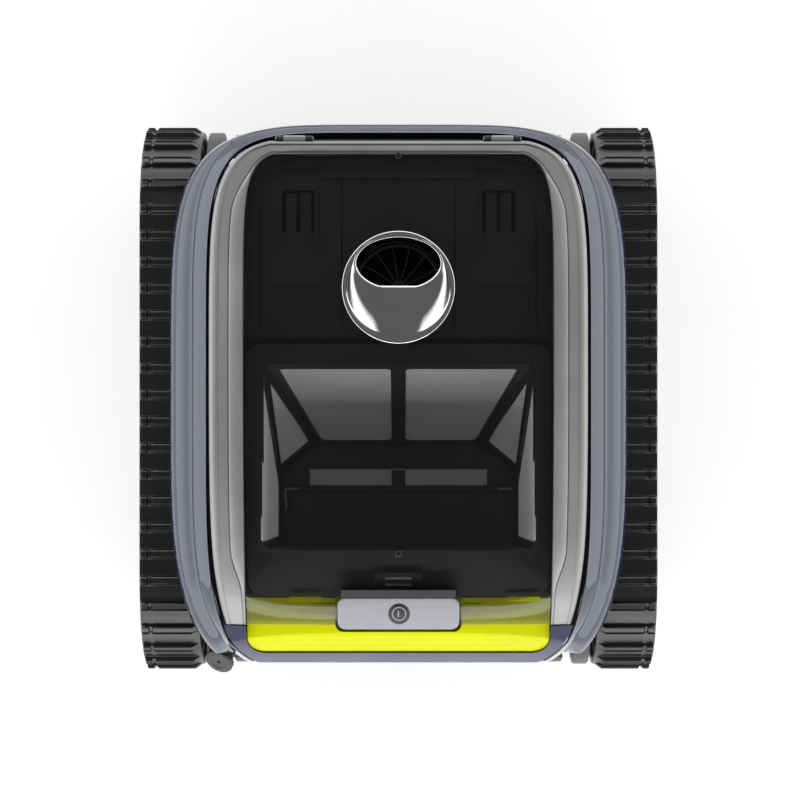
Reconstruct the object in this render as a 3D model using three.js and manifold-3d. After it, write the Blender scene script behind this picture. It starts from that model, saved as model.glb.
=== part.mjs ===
// A tracked pool cleaning robot: hull, lid, filter canister, pump, tracks and brush rollers.
// Millimetres, +Z up, front towards -Y, origin on the ground under the middle of the machine.
import * as THREE from 'three';
import { ConvexGeometry } from 'three/addons/geometries/ConvexGeometry.js';
import { LoftGeometry } from 'three/addons/geometries/LoftGeometry.js';
import { mergeVertices } from 'three/addons/utils/BufferGeometryUtils.js';
import Module from 'manifold-3d';

const wasm = await Module();
wasm.setup();

// ------------------------------------------------------------------ driving dimensions
const GAP = 0.4; // clearance between neighbouring pieces
const SKIN = 3; // wall of the moulded covers
const FAR = 300; // beyond the machine, for cutting boxes
const MERGE = 1e-4; // vertices closer than this are one

// tracks: an obround belt round two wheels a side
const TRACK = {
  outerX: 200, width: 46, wheelY: 136, wheelZ: 80,
  ribRadius: 80, skinRadius: 76, innerRadius: 71, ribs: 50,
  ribBase: 8.4, ribTop: 6.4,
};
TRACK.innerX = TRACK.outerX - TRACK.width;
TRACK.pitchRadius = TRACK.skinRadius + 0.5;

const AXLE = { radius: 8, bore: 8.4, stubX: 136, motorX: 90.6 };
const WHEEL = {
  hub: 18, hubX: 152, rimInner: 65, rimX: 157, webX: 171, web: 6, faceX: 197,
  boss: 12, bossX: 190, endX: 193, hole: 13, holeAt: 41, holes: 5,
};
const HUB_PANEL = { low: -62, high: 62, steps: 8, innerX: 184, outerX: 190 };
const SIDE_FRAME = { innerX: 138.3, outerX: 150, radius: 76 };
const BRUSH = {
  y: 179, z: 37, radius: 36, core: 25, innerX: 4, outerX: 132.6, stub: 5,
  fins: 7, twist: 0.8, finRoot: 0.13, finTip: 0.05, // turns in radians
};
BRUSH.clearance = BRUSH.radius + 4;

// plan outlines of the hull, each a superellipse with its own rear and front half
const GROOVE = { half: 143, rear: 198, front: 226, rearPower: 6, frontPower: 4.5 };
const CREASE = { half: 156, rear: 206, front: 214, rearPower: 5.5, frontPower: 4.5 };
const EDGE = { half: 176, rear: 208, front: 225, rearPower: 5, frontPower: 4 };
const WINDOW = { half: 115, rear: 186, front: 186, rearPower: 9, frontPower: 9 };
const TUB_PLAN = { half: 134, rear: 202, front: 198, rearPower: 8, frontPower: 6 };
const PLAN_STEPS = 32;

// the lid is a dome over the groove outline
const DOME = {
  crown: 246, crownY: 30, rearDrop: 14, frontDrop: 38, spinePower: 2.4, edgeDrop: 16, edgePower: 5,
};
const LIP_Y = -171; // front lip of the lid
const FRONT = { y: -208, z: 115, topZ: 203, bottomZ: 84, power: 1.6 };
const RIM = { gap: 1.5, below: 17, shoulder: 8, depth: 16, endY: -206.8 };
const FENDER_EDGE = { z: 168, drop: 20, power: 6 };
const COVER = { half: 126, lowZ: 95 }; // rear cover between the fenders

const LID = { frame: 8, window: 3, inset: 1.8 };
const DECK = { below: 16, thick: 4, inset: 2.4, wall: 3, bottomZ: 166 };
const WELL = { half: 116.5, rearY: 44 };
const TUB = { floorZ: 22, topZ: 165, wall: 4, wallY: 203 };
const HINGE = { y: 194, z: 213, pin: 2.2, bore: 2.5, knuckle: 4.6, innerX: 70, outerX: 86, ear: 5.3 };

const NOZZLE = { y: 82, flange: 42, collar: 35.2, throat: 33, bottomZ: 226 };
const HOOD = { halfX: 33.5, halfY: 21, back: 17.5, rise: 10, slope: 6.5 }; // lip of the nozzle
const PUMP = { y: 82, ductInner: 33.5, ductOuter: 36.5, impellerZ: 176, coverZ: 128.4 };

const CANISTER = {
  rimHalf: 113.5, rimRear: 40, rimFront: -149.5, rimBelow: 9, rimThick: 5, floorZ: 59, wall: 3,
};
const WELL_MOUTH = { half: 101.8, front: -114, rear: 27, corner: 8 }; // opening inside the canister rim
const HANDLE = { half: 114.7, rearY: -150.5, frontY: -196.2, bottomZ: 150, below: 5, inset: 1.5 };
const MOUTH = { half: 84, frontY: -110, rearY: -76 };
const CHUTE_WALL = 2.5;
const FLAP = { half: 87, hingeY: -73, hingeZ: 62.4, ribPitch: 29 };
const PLATE = { half: 45.8, rearY: -150, frontY: -174.5 };
const LATCH = { half: 18, rearY: -131, frontY: -149 };

const GLAND = { at: [-139, -203.6, 126], axis: [-0.35, -0.63, 0.69], disc: 11.4, body: 8.5 };

// ------------------------------------------------------------------ closed geometry and booleans
// Position-only geometry with shared vertices and outward faces.
function closed(geometry) {
  const bare = new THREE.BufferGeometry().copy(geometry);
  bare.deleteAttribute('normal');
  bare.deleteAttribute('uv');
  const merged = mergeVertices(bare, MERGE);
  const at = merged.attributes.position;
  const [a, b, c] = [new THREE.Vector3(), new THREE.Vector3(), new THREE.Vector3()];
  const faces = [];
  let volume = 0;
  for (let i = 0; i < merged.index.count; i += 3) {
    const [p, q, r] = [0, 1, 2].map((k) => merged.index.getX(i + k));
    if (p === q || q === r || r === p) continue;
    faces.push([p, q, r]);
    a.fromBufferAttribute(at, p);
    b.fromBufferAttribute(at, q);
    c.fromBufferAttribute(at, r);
    volume += a.dot(b.cross(c));
  }
  merged.setIndex(faces.flatMap(([p, q, r]) => (volume < 0 ? [p, r, q] : [p, q, r])));
  return merged;
}

function toManifold(geometry) {
  const vertProperties = new Float32Array(geometry.attributes.position.array);
  const triVerts = new Uint32Array(geometry.index.array);
  return new wasm.Manifold(new wasm.Mesh({ numProp: 3, vertProperties, triVerts }));
}

function fromManifold(manifold) {
  const mesh = manifold.getMesh();
  const geometry = new THREE.BufferGeometry();
  geometry.setAttribute('position', new THREE.BufferAttribute(new Float32Array(mesh.vertProperties), 3));
  geometry.setIndex(new THREE.BufferAttribute(new Uint32Array(mesh.triVerts), 1));
  return geometry;
}

const combine = (verb) => (first, ...others) => fromManifold(
  others.reduce((sum, other) => sum[verb](toManifold(other)), toManifold(first)),
);
const join = combine('add');
const cut = combine('subtract');
const common = combine('intersect');

const mirrored = (geometry) => closed(new THREE.BufferGeometry().copy(geometry).scale(-1, 1, 1));

// ------------------------------------------------------------------ basic solids
function box(x0, x1, y0, y1, z0, z1) {
  const geometry = new THREE.BoxGeometry(x1 - x0, y1 - y0, z1 - z0);
  return closed(geometry.translate((x0 + x1) / 2, (y0 + y1) / 2, (z0 + z1) / 2));
}

function extruded(points, depth, holes = []) {
  const shape = new THREE.Shape(points.map(([u, v]) => new THREE.Vector2(u, v)));
  shape.holes = holes.map((hole) => new THREE.Path(hole.map(([u, v]) => new THREE.Vector2(u, v))));
  return new THREE.ExtrudeGeometry(shape, { depth, bevelEnabled: false });
}

// prism along X of a (y, z) outline
function prismX(points, x0, x1, holes) {
  const turn = new THREE.Matrix4().makeBasis(
    new THREE.Vector3(0, 1, 0), new THREE.Vector3(0, 0, 1), new THREE.Vector3(1, 0, 0),
  );
  return closed(extruded(points, x1 - x0, holes).applyMatrix4(turn).translate(x0, 0, 0));
}

// prism along Y of an (x, z) outline
function prismY(points, y0, y1) {
  const turn = new THREE.Matrix4().makeBasis(
    new THREE.Vector3(1, 0, 0), new THREE.Vector3(0, 0, 1), new THREE.Vector3(0, -1, 0),
  );
  return closed(extruded(points, y1 - y0).applyMatrix4(turn).translate(0, y1, 0));
}

// prism along Z of an (x, y) outline
const prismZ = (points, z0, z1, holes) => closed(extruded(points, z1 - z0, holes).translate(0, 0, z0));

const revolved = (profile, segments) => new THREE.LatheGeometry(
  profile.map(([r, h]) => new THREE.Vector2(r, h)), segments,
);
const latheX = (profile, y, z, segments) => (
  closed(revolved(profile, segments).rotateZ(-Math.PI / 2).translate(0, y, z)));
const latheZ = (profile, x, y, segments) => (
  closed(revolved(profile, segments).rotateX(Math.PI / 2).translate(x, y, 0)));
const rod = (radius, from, to) => [[0, from], [radius, from], [radius, to], [0, to]];
const rodX = (radius, x0, x1, y, z, segments = 14) => latheX(rod(radius, x0, x1), y, z, segments);
const rodZ = (radius, z0, z1, x, y, segments = 16) => latheZ(rod(radius, z0, z1), x, y, segments);

// arc points about a centre, angles in degrees
function arc(u, v, radius, from, to, steps) {
  return Array.from({ length: steps + 1 }, (_, k) => {
    const angle = THREE.MathUtils.degToRad(from + (to - from) * k / steps);
    return [u + radius * Math.cos(angle), v + radius * Math.sin(angle)];
  });
}

const obround = (radius, steps) => [
  ...arc(TRACK.wheelY, TRACK.wheelZ, radius, -90, 90, steps),
  ...arc(-TRACK.wheelY, TRACK.wheelZ, radius, 90, 270, steps),
];

function roundedRectangle(x0, x1, y0, y1, radius, steps = 4) {
  return [
    ...arc(x1 - radius, y0 + radius, radius, -90, 0, steps),
    ...arc(x1 - radius, y1 - radius, radius, 0, 90, steps),
    ...arc(x0 + radius, y1 - radius, radius, 90, 180, steps),
    ...arc(x0 + radius, y0 + radius, radius, 180, 270, steps),
  ];
}

const signedPower = (value, power) => Math.sign(value) * Math.abs(value) ** power;

// point of a plan outline at an angle, pulled in by an inset
function planPoint(plan, angle, inset = 0) {
  const [c, s] = [Math.cos(angle), Math.sin(angle)];
  const [reach, power] = s >= 0 ? [plan.rear, plan.rearPower] : [plan.front, plan.frontPower];
  return [(plan.half - inset) * signedPower(c, 2 / power), (reach - inset) * signedPower(s, 2 / power)];
}

const planAngles = Array.from({ length: PLAN_STEPS }, (_, k) => 2 * Math.PI * k / PLAN_STEPS);
const planOutline = (plan, inset = 0) => planAngles.map((angle) => planPoint(plan, angle, inset));

// skin through rings of points, without ends
function skin(rings) {
  const sections = rings.map((ring) => ring.map(([x, y, z]) => new THREE.Vector3(x, y, z)));
  return closed(new LoftGeometry(sections));
}

// skin that closes on its own first ring
const loftRing = (rings) => skin([...rings, rings[0]]);

// skin whose two ends close as fans on the middle of the end rings
function loft(rings) {
  const middle = (ring) => [0, 1, 2].map((i) => ring.reduce((sum, point) => sum + point[i], 0) / ring.length);
  const tip = (ring) => ring.map(() => middle(ring));
  return skin([tip(rings[0]), ...rings, tip(rings[rings.length - 1])]);
}

// ------------------------------------------------------------------ surfaces of the hull
function spineHeight(y) {
  const { crown, crownY, rearDrop, frontDrop, spinePower } = DOME;
  const reach = y > crownY ? GROOVE.rear - crownY : crownY - LIP_Y;
  const drop = y > crownY ? rearDrop : frontDrop;
  return crown - drop * Math.abs((y - crownY) / reach) ** spinePower;
}

function domeHeight(x, y) {
  const [reach, power] = y >= 0 ? [GROOVE.rear, GROOVE.rearPower] : [GROOVE.front, GROOVE.frontPower];
  const size = ((Math.abs(x) / GROOVE.half) ** power + (Math.abs(y) / reach) ** power) ** (1 / power);
  return spineHeight(y) - DOME.edgeDrop * size ** DOME.edgePower;
}

// height of the sloping front of the hull
function frontHeight(y) {
  const along = Math.max(0, (LIP_Y - y) / (LIP_Y - FRONT.y));
  return FRONT.topZ - (FRONT.topZ - FRONT.z) * along ** FRONT.power;
}

const rimHeight = (y) => Math.min(spineHeight(y) - RIM.below, frontHeight(y));
const fenderEdgeHeight = (y) => (
  FENDER_EDGE.z - FENDER_EDGE.drop * Math.abs(y / EDGE.rear) ** FENDER_EDGE.power);

// solid between the dome raised by `top` and the dome lowered to `bottom`
function domeSolid(top, bottom, inset = 0) {
  const scales = [0.35, 0.68, 0.88, 1];
  const ring = (scale, offset) => planAngles.map((angle) => {
    const [x, y] = planPoint(GROOVE, angle, inset).map((value) => value * scale);
    return [x, y, domeHeight(x, y) + offset];
  });
  const under = scales.map((scale) => ring(scale, bottom));
  const over = scales.map((scale) => ring(scale, top)).reverse();
  return loft([...under, ...over]);
}

// everything behind the sloping front face
function frontPrism(inset) {
  const steps = 10;
  const face = Array.from({ length: steps + 1 }, (_, k) => {
    const y = LIP_Y + (FRONT.y - LIP_Y) * k / steps;
    return [y + inset, frontHeight(y)];
  });
  const foot = [[FRONT.y + inset + 1.5, FRONT.bottomZ], [FRONT.y + inset + 1.5, 20]];
  return prismX([[FAR, 20], [FAR, FAR], [LIP_Y + inset, FAR], ...face, ...foot], -FAR, FAR);
}

const windowPrism = (grow) => {
  const rear = planAngles.filter((angle) => angle <= Math.PI).map((angle) => planPoint(WINDOW, angle, -grow));
  const half = WINDOW.half + grow;
  return prismZ([...rear, [-half, -FAR], [half, -FAR]], 0, FAR);
};

// ------------------------------------------------------------------ tracks
function trackBelt() {
  const straight = 2 * TRACK.wheelY;
  const turn = Math.PI * TRACK.pitchRadius;
  const around = 2 * (straight + turn);
  // point at a distance along the pitch line, at a radius from the wheel axes
  const beltPoint = (distance, radius) => {
    const s = (distance + around) % around;
    if (s < straight) return [-TRACK.wheelY + s, TRACK.wheelZ - radius];
    if (s < straight + turn) {
      const angle = (s - straight) / TRACK.pitchRadius - Math.PI / 2;
      return [TRACK.wheelY + radius * Math.cos(angle), TRACK.wheelZ + radius * Math.sin(angle)];
    }
    if (s < 2 * straight + turn) return [TRACK.wheelY - (s - straight - turn), TRACK.wheelZ + radius];
    const angle = (s - 2 * straight - turn) / TRACK.pitchRadius + Math.PI / 2;
    return [-TRACK.wheelY + radius * Math.cos(angle), TRACK.wheelZ + radius * Math.sin(angle)];
  };
  const outline = [];
  for (let rib = 0; rib < TRACK.ribs; rib += 1) {
    const middle = (rib + 0.5) * around / TRACK.ribs;
    outline.push(beltPoint(middle - TRACK.ribBase / 2, TRACK.skinRadius));
    outline.push(beltPoint(middle - TRACK.ribTop / 2, TRACK.ribRadius));
    outline.push(beltPoint(middle + TRACK.ribTop / 2, TRACK.ribRadius));
    outline.push(beltPoint(middle + TRACK.ribBase / 2, TRACK.skinRadius));
  }
  return prismX(outline, TRACK.innerX, TRACK.outerX, [obround(TRACK.innerRadius, 14)]);
}

// one wheel with its axle, right side
function trackWheel(y, axleX) {
  const { hub, hubX, rimInner, rimX, webX, web, faceX, boss, bossX, endX } = WHEEL;
  const rim = TRACK.innerRadius - 2 * GAP;
  const profile = [
    [0, axleX], [AXLE.radius, axleX], [AXLE.radius, hubX], [hub, hubX], [hub, webX], [rimInner, webX],
    [rimInner, rimX], [rim, rimX], [rim, faceX], [rimInner, faceX], [rimInner, webX + web],
    [hub, webX + web], [hub, bossX], [boss, endX], [0, endX],
  ];
  const wheel = latheX(profile, y, TRACK.wheelZ, 20);
  const lastHole = 360 * (WHEEL.holes - 1) / WHEEL.holes;
  const holes = arc(y, TRACK.wheelZ, WHEEL.holeAt, 0, lastHole, WHEEL.holes - 1);
  return cut(wheel, ...holes.map(([hy, hz]) => rodX(WHEEL.hole, rimX, bossX, hy, hz, 8)));
}

// posts between the side frame and the hub panel
const POSTS = { at: [[-38, 50], [38, 50], [-38, 110], [38, 110]], radius: 7 };

// plate inboard of a belt that carries the axles and brush rollers, right side
function sideFrame() {
  const plate = prismX(obround(SIDE_FRAME.radius, 9), SIDE_FRAME.innerX, SIDE_FRAME.outerX);
  const postEnd = HUB_PANEL.innerX - GAP;
  const posts = POSTS.at.map(([y, z]) => rodX(POSTS.radius, SIDE_FRAME.outerX - 1, postEnd, y, z, 8));
  const bores = [-1, 1].flatMap((end) => [
    rodX(AXLE.bore, 130, 160, end * TRACK.wheelY, TRACK.wheelZ),
    rodX(BRUSH.stub + GAP, 130, 160, end * BRUSH.y, BRUSH.z),
  ]);
  return cut(join(plate, ...posts), ...bores);
}

// cover between the two wheels, right side
function hubPanel() {
  const reach = TRACK.innerRadius + 2.5;
  const { low, high, steps, innerX, outerX } = HUB_PANEL;
  const side = (end) => Array.from({ length: steps + 1 }, (_, k) => {
    const dz = low + (high - low) * k / steps;
    return [end * (TRACK.wheelY - Math.sqrt(reach ** 2 - dz ** 2)), TRACK.wheelZ + dz];
  });
  return prismX([...side(1), ...side(-1).reverse()], innerX, outerX);
}

// half a brush roller with helical fins, right side
function brushRoller(end) {
  const steps = 4;
  const { core, radius: reach, finRoot, finTip } = BRUSH;
  const finSection = [[-finRoot, core], [-finTip, reach], [finTip, reach], [finRoot, core]];
  const rings = Array.from({ length: steps + 1 }, (_, k) => {
    const x = BRUSH.innerX + (BRUSH.outerX - BRUSH.innerX) * k / steps;
    const ring = [];
    for (let fin = 0; fin < BRUSH.fins; fin += 1) {
      const middle = 2 * Math.PI * fin / BRUSH.fins + BRUSH.twist * k / steps;
      for (const [turn, radius] of finSection) {
        const angle = middle + turn;
        ring.push([x, end * BRUSH.y + radius * Math.cos(angle), BRUSH.z + radius * Math.sin(angle)]);
      }
    }
    return ring;
  });
  const outerStub = rodX(BRUSH.stub, BRUSH.outerX - 2, SIDE_FRAME.outerX - 1, end * BRUSH.y, BRUSH.z, 12);
  const innerStub = rodX(BRUSH.stub - 1, GAP, BRUSH.innerX + 2, end * BRUSH.y, BRUSH.z, 12);
  return join(loft(rings), outerStub, innerStub);
}

// ------------------------------------------------------------------ hull
function tubSpace(offset, topZ) {
  const floor = TUB.floorZ + offset;
  const reach = BRUSH.clearance + offset;
  const low = 180 + THREE.MathUtils.radToDeg(Math.asin((BRUSH.z - floor) / reach));
  const high = THREE.MathUtils.radToDeg(Math.acos((TUB.wallY - offset - BRUSH.y) / reach));
  const rear = arc(BRUSH.y, BRUSH.z, reach, low, high, 10);
  const front = rear.map(([y, z]) => [-y, z]).reverse();
  const profile = [...rear, [TUB.wallY - offset, topZ], [-TUB.wallY + offset, topZ], ...front];
  return common(prismX(profile, -FAR, FAR), prismZ(planOutline(TUB_PLAN, offset), 0, FAR));
}

function chassisTub() {
  const hollow = tubSpace(TUB.wall, FAR);
  const webs = [-1, 1].map((end) => cut(
    box(-2.5, 2.5, end * BRUSH.y - 8, end * BRUSH.y + 8, BRUSH.z - 7, BRUSH.z + BRUSH.clearance + 2),
    rodX(BRUSH.stub - 1 + GAP, -5, 5, end * BRUSH.y, BRUSH.z, 12),
  ));
  const shell = cut(tubSpace(0, TUB.topZ), hollow);
  const room = CHUTE_WALL + 0.5;
  const mouth = box(-MOUTH.half - room, MOUTH.half + room, MOUTH.frontY - room, MOUTH.rearY + room, 0, 40);
  const shafts = [-1, 1].map((side) => rodX(AXLE.bore, side * 100, side * FAR, TRACK.wheelY, TRACK.wheelZ));
  const handleRoom = box(-WELL.half, WELL.half, -FAR, HANDLE.rearY + 4.5, HANDLE.bottomZ - 5, FAR);
  const body = cut(join(shell, ...webs), mouth, ...shafts, handleRoom, glandRod(13, -40, 40));
  return common(body, frontPrism(5));
}

// inner deck: follows the dome under the lid, open over the canister well
function upperDeck() {
  const plan = prismZ(planOutline(GROOVE, DECK.inset), DECK.bottomZ, FAR);
  const inside = prismZ(planOutline(GROOVE, DECK.inset + DECK.wall), 0, FAR);
  const plate = common(domeSolid(-DECK.below, -DECK.below - DECK.thick), plan);
  const wall = common(domeSolid(-DECK.below, -100), cut(plan, inside));
  const { y: hingeY, z: hingeZ, ear: earWidth } = HINGE;
  const earFoot = [[hingeY - 4, hingeZ - 17], [hingeY + 1, hingeZ - 17], [hingeY + 1, hingeZ - 7]];
  const earTop = arc(hingeY, hingeZ, 4.2, -20, 180, 8);
  const ear = (x) => prismX([...earFoot, ...earTop], x, x + earWidth);
  const ears = [HINGE.innerX - earWidth - GAP, HINGE.outerX + GAP].flatMap((x) => [ear(x), mirrored(ear(x))]);
  return cut(
    join(plate, wall, ...ears),
    box(-WELL.half, WELL.half, -FAR, WELL.rearY, 0, FAR),
    box(-FAR, FAR, -FAR, LIP_Y - 0.8, 0, FAR),
    rodZ(PUMP.ductOuter + 1, 0, FAR, 0, PUMP.y, 24),
    rodX(HINGE.bore, -110, 110, HINGE.y, HINGE.z, 12),
  );
}

function bodyRim() {
  const ring = (plan, inset, drop) => planAngles.map((angle) => {
    const [x, y] = planPoint(plan, angle, inset);
    return [x, y, rimHeight(y) - drop];
  });
  const rim = loftRing([
    ring(GROOVE, -RIM.gap, 0), ring(CREASE, 0, RIM.shoulder),
    ring(CREASE, SKIN, RIM.depth), ring(GROOVE, -RIM.gap, RIM.depth),
  ]);
  return cut(rim, box(-FAR, FAR, -FAR, RIM.endY, 0, FAR), glandRoom());
}

// convex skirt from the crease down to the edge outline, and on down to `lowerZ` if given
function skirtBand(lowerZ) {
  const turns = [0, 0.35, 0.7, 1];
  const ring = (turn, inset) => planAngles.map((angle) => {
    const [cx, cy] = planPoint(CREASE, angle, inset);
    const [ex, ey] = planPoint(EDGE, angle, inset);
    const [out, down] = [Math.sin(turn * Math.PI / 2), 1 - Math.cos(turn * Math.PI / 2)];
    const [x, y] = [cx + (ex - cx) * out, cy + (ey - cy) * out];
    const inward = inset ? (RIM.depth - RIM.shoulder) * (1 - turn) : 0;
    const topZ = rimHeight(y) - RIM.shoulder - 1.2 - inward;
    return [x, y, topZ + (Math.min(fenderEdgeHeight(y), topZ - 4) - topZ) * down];
  });
  const lower = (inset) => planOutline(EDGE, inset + 2).map(([x, y]) => [x, y, lowerZ]);
  const outer = turns.map((turn) => ring(turn, 0));
  const inner = turns.map((turn) => ring(turn, SKIN)).reverse();
  const foot = lowerZ ? [lower(0), lower(SKIN)] : [];
  return loftRing([...outer, ...foot, ...inner]);
}

const fenderRoom = () => box(-FAR, -COVER.half - 0.6, RIM.endY, FAR, 0, FAR);
const glandRoom = () => glandRod(13.5, -30, 20);
const fender = () => common(skirtBand(0), fenderRoom());
const rearCover = () => common(skirtBand(COVER.lowZ), box(-COVER.half, COVER.half, 100, FAR, 0, FAR));

function glandRod(radius, from, to) {
  const turn = new THREE.Quaternion().setFromUnitVectors(
    new THREE.Vector3(0, 0, 1), new THREE.Vector3(...GLAND.axis).normalize(),
  );
  const rodShape = revolved(rod(radius, from, to), 24).rotateX(Math.PI / 2);
  return closed(rodShape.applyQuaternion(turn).translate(...GLAND.at));
}

// front cover: corner panels beside the handle and the strip below it
function frontFascia() {
  const outer = common(domeSolid(0, -130), frontPrism(0));
  const inner = common(domeSolid(-4, -170, SKIN), frontPrism(4));
  return cut(
    outer,
    inner,
    box(-FAR, FAR, LIP_Y - 1.3, FAR, 0, FAR),
    box(-FAR, FAR, -FAR, FAR, 0, FRONT.bottomZ),
    box(-HANDLE.half - 0.7, HANDLE.half + 0.7, HANDLE.frontY - GAP, FAR, HANDLE.bottomZ - 2, FAR),
    glandRoom(),
  );
}

const glandBody = () => glandRod(GLAND.body, -16, -GAP);
const glandCap = () => cut(glandRod(GLAND.disc, 0, 5), glandRod(1.2, 3, 6));

// bottom plate with the mouth and the chute up to the canister floor
function intakeDuct() {
  const wall = CHUTE_WALL;
  const topZ = CANISTER.floorZ - CANISTER.wall - GAP;
  const plate = prismZ(roundedRectangle(-112, 112, -138, -50, 8), 17.4, TUB.floorZ - GAP);
  const chute = box(-MOUTH.half - wall, MOUTH.half + wall, MOUTH.frontY - wall, MOUTH.rearY + wall, 18, topZ);
  return cut(join(plate, chute), box(-MOUTH.half, MOUTH.half, MOUTH.frontY, MOUTH.rearY, 0, 80));
}

// soft lip round the mouth
function intakeSkirt() {
  const outline = roundedRectangle(-110, 110, -136, -52, 7);
  const hole = roundedRectangle(-107.5, 107.5, -133.5, -54.5, 5);
  return prismZ(outline, 6, 17, [hole]);
}

// ------------------------------------------------------------------ pump and drive
// sealed drive box: (y, z) outlines of its outside and inside
const HOUSING = [[52, 27], [131, 27], [131, 58], [146, 66], [160, 84], [160, 128], [52, 128]];
const HOUSING_INSIDE = [[55, 30], [128, 30], [128, 60], [144, 68.6], [157, 85], [157, 140], [55, 140]];

function motorHousing() {
  return cut(
    prismX(HOUSING, -96, 96),
    prismX(HOUSING_INSIDE, -93, 93),
    rodX(AXLE.bore, -100, -80, TRACK.wheelY, TRACK.wheelZ),
    rodX(AXLE.bore, 80, 100, TRACK.wheelY, TRACK.wheelZ),
  );
}

const motorCover = () => cut(
  prismZ(roundedRectangle(-98, 98, 50, 162, 6), PUMP.coverZ, PUMP.coverZ + 5),
  rodZ(3.6, 100, 160, 0, PUMP.y, 12),
);

// (radius, z) and (radius, x) outlines of the motors
const PUMP_MOTOR = [[0, 31], [25, 31], [25, 104], [18, 110], [8, 110], [8, 118], [0, 118]];
const TRACTION_MOTOR = [[0, 42], [12, 42], [12, 84], [9, 86], [9, 90], [0, 90]];

const pumpMotor = () => latheZ(PUMP_MOTOR, 0, PUMP.y, 24);
const tractionMotor = () => latheX(TRACTION_MOTOR, TRACK.wheelY, TRACK.wheelZ, 20);
const controlBoard = () => box(-88, -86.4, 60, 122, 36, 112);

function pumpDuct() {
  const [low, top] = [156, NOZZLE.bottomZ - 1.4];
  const tube = latheZ([
    [PUMP.ductInner, low], [46, low], [46, low + 3], [PUMP.ductOuter, low + 3], [PUMP.ductOuter, top],
    [PUMP.ductInner, top], [PUMP.ductInner, low],
  ], 0, PUMP.y, 24);
  const [legAt, legHalf] = [28, 3];
  const legs = [[-1, -1], [1, -1], [1, 1], [-1, 1]].map(([i, j]) => {
    const [x, y] = [i * legAt, PUMP.y + j * legAt];
    return box(x - legHalf, x + legHalf, y - legHalf, y + legHalf, PUMP.coverZ + 5 + GAP, low + 1);
  });
  return join(tube, ...legs);
}

function impeller() {
  const hubProfile = [[0, PUMP.impellerZ], [10, PUMP.impellerZ], [10, 196], [6, 203], [0, 203]];
  const hub = latheZ(hubProfile, 0, PUMP.y, 18);
  const blades = Array.from({ length: 6 }, (_, k) => {
    const blade = new THREE.BoxGeometry(25, 2, 24).translate(19.5, 0, 0).rotateX(0.7);
    return closed(blade.rotateZ(k * Math.PI / 3).translate(0, PUMP.y, PUMP.impellerZ + 10));
  });
  return join(hub, ...blades);
}

const impellerShaft = () => rodZ(3, 118.6, PUMP.impellerZ - GAP, 0, PUMP.y, 12);

// ------------------------------------------------------------------ lid
function lidFrame() {
  const plan = prismZ(planOutline(GROOVE, LID.inset), 0, FAR);
  const frame = cut(
    common(domeSolid(0, -LID.frame), plan), windowPrism(0.3), box(-FAR, FAR, -FAR, LIP_Y - 0.4, 0, FAR),
  );
  const pockets = [HINGE.innerX - HINGE.ear - 1, HINGE.outerX - 0.2].flatMap((x) => {
    const round = rodX(5.4, x, x + HINGE.ear + 1.2, HINGE.y, HINGE.z, 20);
    const below = box(x, x + HINGE.ear + 1.2, HINGE.y - 5.4, HINGE.y + 5.4, 190, HINGE.z);
    return [round, below, mirrored(round), mirrored(below)];
  });
  const knuckle = rodX(HINGE.knuckle, HINGE.innerX, HINGE.outerX, HINGE.y, HINGE.z, 16);
  const bore = rodX(HINGE.bore, -110, 110, HINGE.y, HINGE.z, 12);
  return cut(join(cut(frame, ...pockets), knuckle, mirrored(knuckle)), bore);
}

const platePlan = (grow) => roundedRectangle(
  -PLATE.half - grow, PLATE.half + grow, PLATE.frontY - grow, PLATE.rearY + grow, 6 + grow,
);

const lidWindow = () => cut(
  common(domeSolid(0, -LID.window), windowPrism(0)),
  box(-FAR, FAR, -FAR, LIP_Y, 0, FAR),
  rodZ(NOZZLE.collar + GAP, 0, FAR, 0, NOZZLE.y, 28),
  prismZ(platePlan(GAP), 0, FAR),
);

// chromed hood with its flange on the window and its throat below
function outletNozzle() {
  const angles = Array.from({ length: 28 }, (_, k) => 2 * Math.PI * k / 28);
  const circle = (radius, height) => angles.map((angle) => {
    const [x, y] = [radius * Math.cos(angle), NOZZLE.y + radius * Math.sin(angle)];
    return [x, y, typeof height === 'function' ? height(x, y) : height];
  });
  const onDome = (lift) => (x, y) => domeHeight(x, y) + lift;
  const lip = (inset) => angles.map((angle) => [
    (HOOD.halfX - inset) * Math.cos(angle),
    NOZZLE.y + HOOD.back + (HOOD.halfY - inset) * Math.sin(angle),
    DOME.crown + HOOD.rise - HOOD.slope * Math.sin(angle),
  ]);
  const between = (a, b, share) => a.map((point, k) => (
    point.map((value, i) => value + (b[k][i] - value) * share)));
  const foot = circle(38.5, onDome(2.8));
  const shoulder = between(foot, lip(0), 0.5).map(([x, y, z]) => [x * 1.02, y, z + 1]);
  return loftRing([
    circle(NOZZLE.flange, onDome(0.5)), circle(NOZZLE.flange - 0.8, onDome(2.4)), foot, shoulder,
    lip(0), lip(2), circle(NOZZLE.throat, 240), circle(NOZZLE.throat, NOZZLE.bottomZ),
    circle(NOZZLE.collar, NOZZLE.bottomZ), circle(NOZZLE.collar, onDome(0.5)),
  ]);
}

function outletGrille() {
  const [low, high] = [229, 232];
  const outer = NOZZLE.throat - GAP;
  const inner = outer - 2.5;
  const band = [[inner, low], [outer, low], [outer, high], [inner, high], [inner, low]];
  const ring = latheZ(band, 0, NOZZLE.y, 24);
  const hub = rodZ(6, low, high + 1, 0, NOZZLE.y, 12);
  const spokes = Array.from({ length: 15 }, (_, k) => {
    const spoke = new THREE.BoxGeometry(26, 1.3, high - low - 0.6).translate(18, 0, 0);
    return closed(spoke.rotateZ(k * 2 * Math.PI / 15).translate(0, NOZZLE.y, (low + high) / 2));
  });
  return join(ring, hub, ...spokes);
}

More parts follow.
